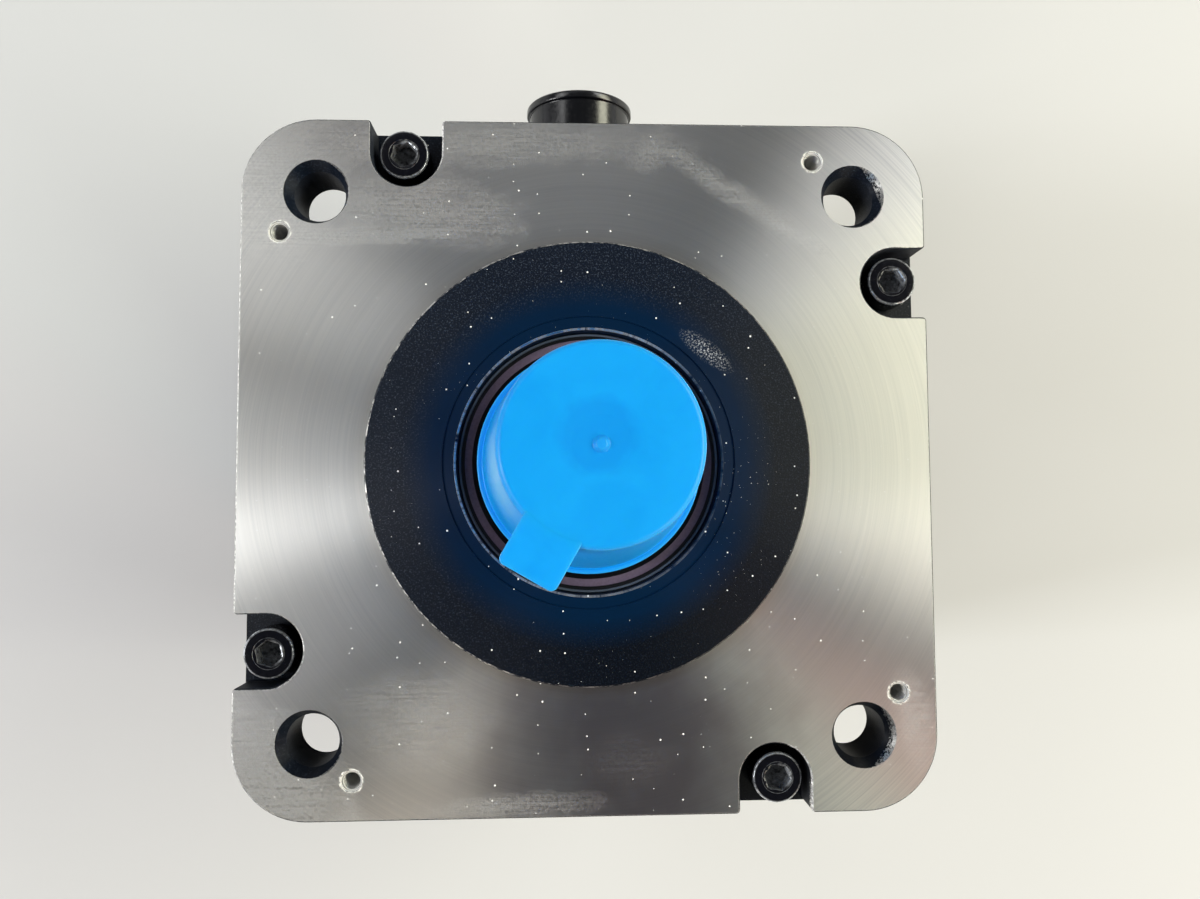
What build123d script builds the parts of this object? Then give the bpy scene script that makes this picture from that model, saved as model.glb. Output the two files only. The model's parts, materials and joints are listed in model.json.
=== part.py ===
from build123d import *
from dataclasses import dataclass
from math import asin, atan, atan2, degrees, hypot, isclose, radians, sqrt, tan
import os

# AC servo motor with a 180 mm square flange, in millimetres.
# The origin is the centre of the mounting face. +Z runs out along the shaft and
# +Y points to the side that carries the connectors.

# Clearances
seat_gap = 0.02
thread_gap = 0.1
rest_gap = 0.3
running_gap = 0.05
pocket_gap = 0.15
head_gap = 0.4

# Mounting flange
flange_side = 180.0
flange_thickness = 18.0
edge_break = 0.4
hole_inset = 19.29
bolt_hole = 13.5
bolt_mouth = 17.0
bolt_mouth_depth = 4.0
pilot_diameter = 114.3
pilot_height = 3.2
pilot_edge_break = 0.4
tapped_hole = 4.2
tapped_mouth = 5.5
tapped_depth = 14.0
tapped_spacing = 14.18

# Notches in the flange's edges, and the screws that stand in them
notch_width = 18.5
notch_depth = 10.3
notch_inset = 8.3
notch_spacing = 23.21
notch_corner = 1.0
flange_screw_size = 8
flange_screw_inset = 8.25
flange_screw_offset = 1.0
flange_screw_length = 26.0

# Oil seal and its pocket in the pilot
seal_bore = 68.0
seal_width = 9.0
seal_depth = 1.5
seal_mouth_width = 0.5
seal_mouth_depth = 0.5
seal_step = 75.0
seal_step_depth = 0.3
seal_rim_width = 0.9
seal_rim_bevel = 0.4
seal_groove_width = 0.9
seal_groove_depth = 0.8
seal_band_width = 2.0
seal_dish = 2.5
seal_shoulder = 1.0
seal_bevel = 1.5
seal_contact = 2.0

# Shaft
shaft_diameter = 35.0
shaft_projection = 70.0
shaft_end_chamfer = 1.0
journal_diameter = 45.0
journal_front = -0.5
journal_chamfer = 1.0
centre_hole = 10.2
centre_hole_depth = 28.0
centre_mouth = 14.0
rotor_seat_diameter = 50.0
rotor_shoulder_diameter = 55.0
rear_neck_diameter = 38.0
encoder_neck_diameter = 24.0
encoder_stub_diameter = 12.0
neck_overhang = 1.0

# Frame, an extruded square tube with a channel along each corner for the mounting bolt
frame_step = 1.0
frame_length = 132.0
frame_wall = 14.0
channel_radius = 14.0
frame_corner = 3.0
panel_margin = 15.71
panel_depth = 1.2
spigot_length = 6.0
spigot_wall = 9.0
lead_hole = 24.0
lead_hole_shift = 2.0
lead_hole_overrun = 4.0

# Rear bracket
bracket_thickness = 22.0
bracket_edge_break = 2.0
bracket_screw_size = 6
bracket_screw_length = 30.0
bracket_screw_inset = 9.0
bracket_screw_margin = 6.71
bracket_head_recess = 6.5
bracket_bore = 40.0

# Stator
slot_count = 12
winding_space_front = 28.0
winding_space_rear = 32.0
yoke_thickness = 10.5
split_ratio = 0.564
tooth_width = 14.4
tooth_tip = 3.0
tooth_sink = 1.0
slot_opening = 3.4
bobbin_wall = 0.9
bobbin_gap = 0.1
bobbin_foot_gap = 0.9
bobbin_top_gap = 1.0
coil_spacing = 1.13
coil_taper = 9.0
coil_corner_step = 0.3
coil_foot_gap = 5.2
coil_top_gap = 2.5

# Rotor
pole_count = 10
air_gap = 0.68
magnet_thickness = 3.5
magnet_span = 30.0
sleeve_thickness = 0.6
sleeve_overhang = 1.0
end_plate_step = 0.5
end_plate_thickness = 2.0
core_holes = 5
core_web = 0.75

# Front bearing retainer
hub_wall = 9.5
retainer_thickness = 3.0
retainer_lap = 3.5
retainer_screw_size = 4
retainer_screw_length = 12.0

# Encoder
encoder_body_diameter = 58.0
encoder_body_wall = 3.0
encoder_body_length = 24.0
encoder_foot_diameter = 78.0
encoder_foot_thickness = 3.0
encoder_screw_size = 3
encoder_screw_length = 9.0
encoder_screw_circle = 70.0
hub_outer = 26.0
hub_length = 15.0
disc_diameter = 46.0
disc_thickness = 1.0
disc_clamp = 3.0
nut_wall = 3.0
board_thickness = 1.6
read_head_gap = 1.2
read_head_width = 14.0
read_head_depth = 9.8
cover_inset = 29.0
cover_length = 42.0
cover_wall = 3.5
cover_corner = 12.0
cover_edge = 3.0
cover_gasket = 1.0
cover_screw_size = 4
cover_screw_inset = 10.0
cover_screw_length = 48.0
cover_boss = 15.0
cover_head_recess = 4.6
cover_thread_depth = 12.0
pad_height = 6.0
pad_margin = 1.0

# Terminal box
box_width = 64.0
box_length = 70.0
box_from_rear = 45.0
box_height = 21.0
box_wall = 4.0
box_corner = 9.0
box_edge = 2.5
box_gasket = 1.0
box_screw_size = 4
box_screw_shift_x = 26.0
box_screw_shift_z = 29.0
box_boss = 12.0
box_head_recess = 4.4
box_screw_length = 26.0
box_thread_depth = 10.0
power_shift = 5.0
lead_diameter = 3.0
lead_bend = 9.0
lead_first = 2.6
lead_second = 6.0
lead_turn_inset = 5.0
encoder_lead = 1.4

# Shaft cap, a thin moulded cone pushed over the shaft
cap_wall = 1.0
cap_end = 1.7
cap_shaft_gap = 0.5
cap_foot_radius = 27.0
cap_lift = 0.3
cap_bead_height = 1.4
cap_bead_radius = 28.5
cap_edge = 1.5
tab_width = 11.7
tab_length = 8.4
tab_thickness = 1.6
tab_corner = 1.3
tab_sink = 1.5
tab_angle = 240.0
nub_diameter = 2.2
nub_height = 0.5


@dataclass
class Connector:
    """A round receptacle with a square flange, and the push-on cap over its shell."""

    name: str
    flange: float
    flange_corner: float
    flange_thickness: float
    hole_spacing: float
    screw_size: int
    screw_length: float
    shell: float
    shell_wall: float
    shell_length: float
    tail_diameter: float
    tail_length: float
    insert_recess: float
    pin_circle: float
    pin_count: int
    pin_diameter: float
    pin_reach: float
    pin_tail: float
    gasket: float
    cap_gap: float
    cap_wall: float
    cap_end: float
    cap_lip: float
    cap_lip_height: float
    cap_lip_round: float
    cap_length: float


power = Connector(
    name="power",
    flange=41.3,
    flange_corner=3.0,
    flange_thickness=3.2,
    hole_spacing=31.8,
    screw_size=3,
    screw_length=6.5,
    shell=34.9,
    shell_wall=2.0,
    shell_length=19.0,
    tail_diameter=30.0,
    tail_length=4.0,
    insert_recess=12.0,
    pin_circle=15.0,
    pin_count=4,
    pin_diameter=3.6,
    pin_reach=9.0,
    pin_tail=3.0,
    gasket=1.2,
    cap_gap=0.15,
    cap_wall=0.9,
    cap_end=2.2,
    cap_lip=39.2,
    cap_lip_height=2.8,
    cap_lip_round=0.7,
    cap_length=19.0,
)
encoder = Connector(
    name="encoder",
    flange=32.0,
    flange_corner=2.5,
    flange_thickness=2.8,
    hole_spacing=24.6,
    screw_size=3,
    screw_length=6.5,
    shell=25.4,
    shell_wall=1.6,
    shell_length=15.0,
    tail_diameter=21.5,
    tail_length=4.0,
    insert_recess=8.5,
    pin_circle=14.0,
    pin_count=9,
    pin_diameter=1.6,
    pin_reach=6.5,
    pin_tail=3.0,
    gasket=1.0,
    cap_gap=0.15,
    cap_wall=0.9,
    cap_end=1.8,
    cap_lip=29.4,
    cap_lip_height=2.2,
    cap_lip_round=0.55,
    cap_length=15.0,
)


@dataclass
class Bearing:
    """A deep groove ball bearing, given by its catalogue sizes."""

    name: str
    bore: float
    outer: float
    width: float
    ball: float
    ball_count: int
    shoulder: float
    cage_half_width: float
    cage_thickness: float


front_bearing = Bearing(
    name="front_bearing",
    bore=journal_diameter,
    outer=85.0,
    width=19.0,
    ball=12.7,
    ball_count=9,
    shoulder=2.3,
    cage_half_width=7.6,
    cage_thickness=3.6,
)
rear_bearing = Bearing(
    name="rear_bearing",
    bore=30.0,
    outer=62.0,
    width=16.0,
    ball=9.525,
    ball_count=9,
    shoulder=1.7,
    cage_half_width=5.9,
    cage_thickness=2.8,
)
shield_rib = 2.0
shield_lap = 6.0
spring_height = 2.0
spring_band = 6.5

# Socket head cap screws: the head is as high as the thread is wide
head_growth = 1.5
head_allowance = 1.0
head_edge = 0.06
key_width = 0.75
key_depth = 0.55

# Outlines, circles and bores that follow from the sizes above
bolt_offset = flange_side / 2 - hole_inset
bolt_circle = 2 * sqrt(2) * bolt_offset
tapped_angle = 45 + 2 * degrees(asin(tapped_spacing / bolt_circle))
notch_reach = flange_side / 2 - notch_inset
notch_shift = bolt_offset - notch_spacing
flange_screw_reach = flange_side / 2 - flange_screw_inset
flange_screw_shift = notch_shift + flange_screw_offset
frame_side = flange_side - 2 * frame_step
frame_bore = frame_side - 2 * frame_wall
flat_half = bolt_offset - channel_radius
panel_width = 2 * (flat_half - panel_margin)
bracket_screw_reach = frame_side / 2 - bracket_screw_inset
bracket_screw_shift = flat_half - bracket_screw_margin
hub_diameter = front_bearing.outer + 2 * hub_wall
retainer_inner = front_bearing.outer - 2 * retainer_lap
retainer_screw_circle = front_bearing.outer + hub_wall
slot_bottom = frame_bore - 2 * yoke_thickness
stator_inner = split_ratio * frame_bore
coil_inner = stator_inner + 2 * coil_foot_gap
coil_height = slot_bottom / 2 - coil_top_gap - coil_inner / 2
magnet_outer = stator_inner / 2 - air_gap - sleeve_thickness - seat_gap
core_diameter = 2 * (magnet_outer - magnet_thickness)
core_hole_circle = (rotor_seat_diameter + core_diameter) / 2
core_hole_diameter = (core_diameter - rotor_seat_diameter) / 2 - 2 * core_web
cover_side = frame_side - 2 * cover_inset
cover_screw_shift = cover_side / 2 - cover_screw_inset

# Levels along the motor axis, and heights above it
frame_front = -flange_thickness
frame_rear = frame_front - frame_length
bracket_rear = frame_rear - bracket_thickness
cover_front = bracket_rear - cover_gasket
cover_rear = cover_front - cover_length
seal_front = -seal_depth
seal_rim = seal_bore / 2 - seal_rim_width
seal_band = seal_rim - seal_groove_width
seal_lip_land = seal_band - seal_band_width
seal_rear = seal_front - seal_width
front_bearing_front = seal_rear - shield_rib
front_bearing_rear = front_bearing_front - front_bearing.width
rear_bearing_front = frame_rear
rear_bearing_rear = rear_bearing_front - rear_bearing.width
spring_rear = rear_bearing_rear - spring_height
stack_front = frame_front - winding_space_front
stack_rear = frame_rear + winding_space_rear
stack_length = stack_front - stack_rear
box_centre = frame_rear + box_from_rear
box_foot = frame_side / 2 + box_gasket
box_top = box_foot + box_height
power_axis = box_centre + power_shift
encoder_axis = (cover_front + cover_rear) / 2
encoder_body_rear = bracket_rear - encoder_body_length
encoder_pad_top = cover_side / 2 + pad_height


def head_radius(size):
    """The radius of a cap screw's head: half of 1.5 thread diameters and 1 mm."""
    return (head_growth * size + head_allowance) / 2


def cap_screw(size, length):
    """A socket head cap screw: head on the plane at 0, shank of this length below it."""
    with BuildPart() as screw:
        with BuildSketch():
            Circle(head_radius(size))
        extrude(amount=size)
        chamfer(screw.edges().sort_by(Axis.Z)[-1], size * head_edge)
        with BuildSketch(Plane.XY.offset(size)):
            RegularPolygon(size * key_width / sqrt(3), 6)
        extrude(amount=-size * key_depth, mode=Mode.SUBTRACT)
        with BuildSketch():
            Circle(size / 2)
        extrude(amount=-length)
    return screw.part


def level(z):
    """A plane across the motor axis that looks out along the shaft."""
    return Plane.XY.offset(z)


def rear_level(z):
    """A plane across the motor axis that looks to the rear."""
    return Plane((0, 0, z), x_dir=(1, 0, 0), z_dir=(0, 0, -1))


def top_level(y, z):
    """A plane that looks towards the connectors, centred at this height and level."""
    return Plane((0, y, z), x_dir=(1, 0, 0), z_dir=(0, 1, 0))


# Outline that the frame and the rear bracket share: two crossed bars, so each corner is open
with BuildSketch() as body_outline:
    Rectangle(frame_side, 2 * flat_half)
    Rectangle(2 * flat_half, frame_side)
    inner_corners = body_outline.vertices().filter_by(lambda v: isclose(abs(v.X), abs(v.Y)))
    fillet(inner_corners, channel_radius)
    outer_corners = body_outline.vertices().filter_by(
        lambda v: isclose(max(abs(v.X), abs(v.Y)), frame_side / 2)
        and isclose(min(abs(v.X), abs(v.Y)), flat_half)
    )
    fillet(outer_corners, frame_corner)

# Front flange: a cast plate with the pilot and seal pocket in front and the bearing hub behind
screw_circle = hypot(flange_screw_shift, flange_screw_reach)
screw_angle = degrees(atan2(flange_screw_reach, -flange_screw_shift))
with BuildPart() as front_flange:
    with BuildSketch(level(-flange_thickness)):
        RectangleRounded(flange_side, flange_side, flange_side / 2 - bolt_offset)
    extrude(amount=flange_thickness - notch_depth)
    chamfer(front_flange.edges().group_by(Axis.Z)[0], edge_break)
    with BuildSketch(level(-notch_depth)) as face_outline:
        RectangleRounded(flange_side, flange_side, flange_side / 2 - bolt_offset)
        with PolarLocations(0, 4):
            with Locations((-notch_shift, notch_reach + notch_width / 2)):
                SlotCenterToCenter(notch_width, notch_width, rotation=90, mode=Mode.SUBTRACT)
        mouths = face_outline.vertices().filter_by(
            lambda v: isclose(max(abs(v.X), abs(v.Y)), flange_side / 2)
            and min(abs(v.X), abs(v.Y)) < bolt_offset - notch_corner
        )
        fillet(mouths, notch_corner)
    extrude(amount=notch_depth)
    chamfer(front_flange.edges().group_by(Axis.Z)[-1], edge_break)
    with BuildSketch(level(0)):
        Circle(pilot_diameter / 2)
    extrude(amount=pilot_height)
    chamfer(front_flange.edges().group_by(Axis.Z)[-1], pilot_edge_break)
    with BuildSketch(level(-flange_thickness)):
        Circle(frame_bore / 2 - running_gap)
        Circle(frame_bore / 2 - spigot_wall, mode=Mode.SUBTRACT)
    extrude(amount=-spigot_length)
    with BuildSketch(level(-flange_thickness)):
        Circle(hub_diameter / 2)
    extrude(amount=front_bearing_rear + flange_thickness)
    with BuildSketch(Plane.XZ):
        with BuildLine():
            Polyline(
                (0, pilot_height),
                (seal_step / 2, pilot_height),
                (seal_step / 2, pilot_height - seal_step_depth),
                (seal_bore / 2 + seal_mouth_width, pilot_height - seal_step_depth),
                (seal_bore / 2 + seat_gap, pilot_height - seal_step_depth - seal_mouth_depth),
                (seal_bore / 2 + seat_gap, seal_rear),
                (front_bearing.outer / 2 - shield_lap, seal_rear),
                (front_bearing.outer / 2 - shield_lap, front_bearing_front),
                (front_bearing.outer / 2 + seat_gap, front_bearing_front),
                (front_bearing.outer / 2 + seat_gap, front_bearing_rear),
                (0, front_bearing_rear),
                close=True,
            )
        make_face()
    revolve(axis=Axis.Z, mode=Mode.SUBTRACT)
    with Locations(level(0)):
        with PolarLocations(bolt_circle / 2, 4, start_angle=45):
            CounterSinkHole(
                radius=bolt_hole / 2,
                counter_sink_radius=bolt_mouth / 2,
                counter_sink_angle=2 * degrees(atan((bolt_mouth - bolt_hole) / 2 / bolt_mouth_depth)),
            )
        with PolarLocations(bolt_circle / 2, 4, start_angle=tapped_angle):
            CounterSinkHole(
                radius=tapped_hole / 2,
                counter_sink_radius=tapped_mouth / 2,
                depth=tapped_depth,
                counter_sink_angle=90,
            )
    with Locations(level(-notch_depth)):
        with PolarLocations(screw_circle, 4, start_angle=screw_angle):
            Hole(radius=flange_screw_size / 2 + rest_gap)
    with Locations(rear_level(front_bearing_rear)):
        with PolarLocations(retainer_screw_circle / 2, 4, start_angle=45):
            Hole(radius=(retainer_screw_size + thread_gap) / 2, depth=retainer_screw_length)
front_flange.part.label = "front_flange"
export_step(front_flange.part, "parts/front_flange.step")

# Flange screws: their heads stand on the floors of the notches
with BuildPart() as flange_screws:
    with Locations(level(-notch_depth)):
        with PolarLocations(screw_circle, 4, start_angle=screw_angle):
            add(cap_screw(flange_screw_size, flange_screw_length))
flange_screws.part.label = "flange_screws"
export_step(flange_screws.part, "parts/flange_screws.step")

# Oil seal: a rubber ring with a bevelled rim, a groove and a raised band, and a lip that runs on the journal
seal_lip = journal_diameter / 2 + running_gap
with BuildPart() as oil_seal:
    with BuildSketch(Plane.XZ):
        with BuildLine():
            Polyline(
                (seal_bore / 2, seal_front - seal_rim_bevel),
                (seal_bore / 2 - seal_rim_bevel, seal_front),
                (seal_rim, seal_front),
                (seal_rim, seal_front - seal_groove_depth),
                (seal_band, seal_front - seal_groove_depth),
                (seal_band, seal_front),
                (seal_lip_land, seal_front),
                (seal_lip_land - seal_dish, seal_front - seal_dish),
                (seal_lip + seal_bevel, seal_front - seal_shoulder),
                (seal_lip, seal_front - seal_shoulder - seal_bevel),
                (seal_lip, seal_front - seal_shoulder - seal_bevel - seal_contact),
                (seal_lip + seal_dish, seal_rear + seal_shoulder),
                (seal_band - seal_shoulder, seal_rear + seal_shoulder + seal_dish),
                (seal_band - seal_shoulder, seal_rear),
                (seal_bore / 2, seal_rear),
                close=True,
            )
        make_face()
    revolve(axis=Axis.Z)
oil_seal.part.label = "oil_seal"
export_step(oil_seal.part, "parts/oil_seal.step")

# Ball bearings: two rings with grooves, the balls between them and the cage that spaces them
for bearing, front in ((front_bearing, front_bearing_front), (rear_bearing, rear_bearing_front)):
    middle = front - bearing.width / 2
    pitch = (bearing.bore + bearing.outer) / 4
    reach = bearing.ball / 2 + running_gap
    with BuildPart() as outer_ring:
        with BuildSketch(level(front)):
            Circle(bearing.outer / 2)
            Circle(pitch + bearing.ball / 2 - bearing.shoulder, mode=Mode.SUBTRACT)
        extrude(amount=-bearing.width)
        with BuildSketch(Plane.XZ):
            with Locations((pitch, middle)):
                Circle(reach)
        revolve(axis=Axis.Z, mode=Mode.SUBTRACT)
    outer_ring.part.label = f"{bearing.name}_outer_ring"
    export_step(outer_ring.part, f"parts/{bearing.name}_outer_ring.step")

    with BuildPart() as inner_ring:
        with BuildSketch(level(front)):
            Circle(pitch - bearing.ball / 2 + bearing.shoulder)
            Circle(bearing.bore / 2 + seat_gap, mode=Mode.SUBTRACT)
        extrude(amount=-bearing.width)
        with BuildSketch(Plane.XZ):
            with Locations((pitch, middle)):
                Circle(reach)
        revolve(axis=Axis.Z, mode=Mode.SUBTRACT)
    inner_ring.part.label = f"{bearing.name}_inner_ring"
    export_step(inner_ring.part, f"parts/{bearing.name}_inner_ring.step")

    with BuildPart() as balls:
        with Locations(level(middle)):
            with PolarLocations(pitch, bearing.ball_count):
                Sphere(bearing.ball / 2)
    balls.part.label = f"{bearing.name}_balls"
    export_step(balls.part, f"parts/{bearing.name}_balls.step")

    with BuildPart() as cage:
        with BuildSketch(level(middle - bearing.cage_half_width)):
            Circle(pitch + bearing.cage_thickness / 2)
            Circle(pitch - bearing.cage_thickness / 2, mode=Mode.SUBTRACT)
        extrude(amount=2 * bearing.cage_half_width)
        with Locations(level(middle)):
            with PolarLocations(pitch, bearing.ball_count):
                Cylinder(
                    bearing.ball / 2 + pocket_gap,
                    2 * bearing.cage_thickness,
                    rotation=(0, 90, 0),
                    mode=Mode.SUBTRACT,
                )
    cage.part.label = f"{bearing.name}_cage"
    export_step(cage.part, f"parts/{bearing.name}_cage.step")

# Retainer plate that holds the front bearing in the hub, and its screws
with BuildPart() as bearing_retainer:
    with BuildSketch(level(front_bearing_rear)):
        Circle(hub_diameter / 2)
        Circle(retainer_inner / 2, mode=Mode.SUBTRACT)
        with PolarLocations(retainer_screw_circle / 2, 4, start_angle=45):
            Circle((retainer_screw_size + rest_gap) / 2, mode=Mode.SUBTRACT)
    extrude(amount=-retainer_thickness)
bearing_retainer.part.label = "bearing_retainer"
export_step(bearing_retainer.part, "parts/bearing_retainer.step")

with BuildPart() as retainer_screws:
    with Locations(rear_level(front_bearing_rear - retainer_thickness)):
        with PolarLocations(retainer_screw_circle / 2, 4, start_angle=45):
            add(cap_screw(retainer_screw_size, retainer_screw_length))
retainer_screws.part.label = "retainer_screws"
export_step(retainer_screws.part, "parts/retainer_screws.step")

# Stator frame: the extruded tube, with shallow panels on the three sides without a connector
with BuildPart() as stator_frame:
    with BuildSketch(level(frame_rear)):
        add(body_outline.sketch)
        Circle(frame_bore / 2, mode=Mode.SUBTRACT)
        with Locations((frame_side / 2, 0), (-frame_side / 2, 0)):
            Rectangle(2 * panel_depth, panel_width, mode=Mode.SUBTRACT)
        with Locations((0, -frame_side / 2)):
            Rectangle(panel_width, 2 * panel_depth, mode=Mode.SUBTRACT)
    extrude(amount=frame_length)
    with Locations(level(frame_front)):
        with PolarLocations(screw_circle, 4, start_angle=screw_angle):
            Hole(radius=(flange_screw_size + thread_gap) / 2, depth=flange_screw_length)
    with Locations(rear_level(frame_rear)):
        with GridLocations(2 * bracket_screw_shift, 2 * bracket_screw_reach, 2, 2):
            Hole(radius=(bracket_screw_size + thread_gap) / 2, depth=bracket_screw_length)
    with Locations(top_level(frame_side / 2, box_centre)):
        with GridLocations(2 * box_screw_shift_x, 2 * box_screw_shift_z, 2, 2):
            Hole(radius=(box_screw_size + thread_gap) / 2, depth=box_thread_depth)
    with Locations(top_level(frame_side / 2, stack_rear - lead_hole_shift)):
        Hole(radius=lead_hole / 2, depth=frame_wall + lead_hole_overrun)
stator_frame.part.label = "stator_frame"
export_step(stator_frame.part, "parts/stator_frame.step")

# Stator core: the lamination stack, with a tooth between each pair of slots
tooth_root = slot_bottom / 2 + tooth_sink
with BuildPart() as stator_core:
    with BuildSketch(level(stack_rear)):
        Circle(frame_bore / 2 - seat_gap)
        Circle(slot_bottom / 2, mode=Mode.SUBTRACT)
        with PolarLocations((tooth_root + stator_inner / 2) / 2, slot_count):
            Rectangle(tooth_root - stator_inner / 2, tooth_width)
        Circle(stator_inner / 2 + tooth_tip)
        with PolarLocations(stator_inner / 2, slot_count, start_angle=180 / slot_count):
            Rectangle(4 * tooth_tip, slot_opening, mode=Mode.SUBTRACT)
        Circle(stator_inner / 2, mode=Mode.SUBTRACT)
    extrude(amount=stack_length)
stator_core.part.label = "stator_core"
export_step(stator_core.part, "parts/stator_core.step")


def tooth_level(radius):
    """A plane across the first tooth that looks outwards; its x runs along the motor axis."""
    return Plane((radius, 0, (stack_front + stack_rear) / 2), x_dir=(0, 0, 1), z_dir=(1, 0, 0))


# Bobbins and coils: one bobbin round each tooth, one coil wound on each bobbin
bobbin_bottom = stator_inner / 2 + tooth_tip + bobbin_foot_gap
bobbin_top = slot_bottom / 2 - bobbin_top_gap
bobbin_length = stack_length + 2 * bobbin_gap
bobbin_width = tooth_width + 2 * bobbin_gap
with BuildPart() as bobbin:
    with BuildSketch(tooth_level(bobbin_bottom)):
        Rectangle(bobbin_length + 2 * bobbin_wall, bobbin_width + 2 * bobbin_wall)
        Rectangle(bobbin_length, bobbin_width, mode=Mode.SUBTRACT)
    extrude(amount=bobbin_top - bobbin_bottom)
with BuildPart() as coil_bobbins:
    with PolarLocations(0, slot_count):
        add(bobbin.part)
coil_bobbins.part.label = "coil_bobbins"
export_step(coil_bobbins.part, "parts/coil_bobbins.step")

winding_length = bobbin_length + 2 * bobbin_wall + 2 * bobbin_gap
winding_width = bobbin_width + 2 * bobbin_wall + 2 * bobbin_gap
coil_room = coil_inner / 2 * tan(radians(180 / slot_count))
coil_thickness = coil_room - winding_width / 2 - coil_spacing
coil_corner = coil_thickness - coil_corner_step
with BuildPart() as coil:
    with BuildSketch(tooth_level(coil_inner / 2)):
        RectangleRounded(
            winding_length + 2 * coil_thickness, winding_width + 2 * coil_thickness, coil_corner
        )
    extrude(amount=coil_height, taper=-coil_taper)
    with BuildSketch(tooth_level(coil_inner / 2)):
        Rectangle(winding_length, winding_width)
    extrude(amount=coil_height, mode=Mode.SUBTRACT)
with BuildPart() as stator_coils:
    with PolarLocations(0, slot_count):
        add(coil.part)
stator_coils.part.label = "stator_coils"
export_step(stator_coils.part, "parts/stator_coils.step")

# Shaft: one turned bar, from the output end down to the stub that carries the encoder
neck_rear = bracket_rear - neck_overhang
hub_rear = neck_rear - hub_length
disc_rear = hub_rear - disc_thickness
shaft_rear = disc_rear - disc_clamp
core_front = stack_front + end_plate_thickness
core_rear = stack_rear - end_plate_thickness
with BuildPart() as shaft:
    with BuildSketch(Plane.XZ):
        with BuildLine():
            Polyline(
                (0, shaft_projection),
                (shaft_diameter / 2 - shaft_end_chamfer, shaft_projection),
                (shaft_diameter / 2, shaft_projection - shaft_end_chamfer),
                (shaft_diameter / 2, journal_front),
                (journal_diameter / 2 - journal_chamfer, journal_front),
                (journal_diameter / 2, journal_front - journal_chamfer),
                (journal_diameter / 2, front_bearing_rear),
                (rotor_shoulder_diameter / 2, front_bearing_rear),
                (rotor_shoulder_diameter / 2, core_front),
                (rotor_seat_diameter / 2, core_front),
                (rotor_seat_diameter / 2, core_rear),
                (rear_neck_diameter / 2, core_rear),
                (rear_neck_diameter / 2, rear_bearing_front),
                (rear_bearing.bore / 2, rear_bearing_front),
                (rear_bearing.bore / 2, rear_bearing_rear),
                (encoder_neck_diameter / 2, rear_bearing_rear),
                (encoder_neck_diameter / 2, neck_rear),
                (encoder_stub_diameter / 2, neck_rear),
                (encoder_stub_diameter / 2, shaft_rear),
                (0, shaft_rear),
                close=True,
            )
        make_face()
    revolve(axis=Axis.Z)
    with Locations(level(shaft_projection)):
        CounterSinkHole(
            radius=centre_hole / 2,
            counter_sink_radius=centre_mouth / 2,
            depth=centre_hole_depth,
            counter_sink_angle=60,
        )
shaft.part.label = "shaft"
export_step(shaft.part, "parts/shaft.step")

# Rotor core with its magnets, the sleeve that binds them and the two balance plates
with BuildPart() as rotor_core:
    with BuildSketch(level(stack_rear)):
        Circle(core_diameter / 2)
        Circle(rotor_seat_diameter / 2 + seat_gap, mode=Mode.SUBTRACT)
        with PolarLocations(core_hole_circle / 2, core_holes):
            Circle(core_hole_diameter / 2, mode=Mode.SUBTRACT)
    extrude(amount=stack_length)
rotor_core.part.label = "rotor_core"
export_step(rotor_core.part, "parts/rotor_core.step")

magnet_inner = core_diameter / 2 + seat_gap
with BuildPart() as magnet:
    with BuildSketch(level(stack_rear)):
        Circle(magnet_outer)
        Circle(magnet_inner, mode=Mode.SUBTRACT)
        with BuildLine():
            wedge_side = Line((0, 0), Vector(2 * magnet_outer, 0).rotate(Axis.Z, magnet_span / 2))
            mirror(wedge_side, about=Plane.XZ)
            Line(wedge_side @ 1, Vector(2 * magnet_outer, 0).rotate(Axis.Z, -magnet_span / 2))
        make_face(mode=Mode.INTERSECT)
    extrude(amount=stack_length)
with BuildPart() as rotor_magnets:
    with PolarLocations(0, pole_count):
        add(magnet.part)
rotor_magnets.part.label = "rotor_magnets"
export_step(rotor_magnets.part, "parts/rotor_magnets.step")

sleeve_inner = magnet_outer + seat_gap
with BuildPart() as rotor_sleeve:
    with BuildSketch(level(stack_rear - sleeve_overhang)):
        Circle(sleeve_inner + sleeve_thickness)
        Circle(sleeve_inner, mode=Mode.SUBTRACT)
    extrude(amount=stack_length + 2 * sleeve_overhang)
rotor_sleeve.part.label = "rotor_sleeve"
export_step(rotor_sleeve.part, "parts/rotor_sleeve.step")

with BuildPart() as balance_plates:
    with BuildSketch(level(stack_front), level(stack_rear - end_plate_thickness)):
        Circle(core_diameter / 2 - end_plate_step)
        Circle(rotor_seat_diameter / 2 + seat_gap, mode=Mode.SUBTRACT)
    extrude(amount=end_plate_thickness)
balance_plates.part.label = "balance_plates"
export_step(balance_plates.part, "parts/balance_plates.step")

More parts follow.
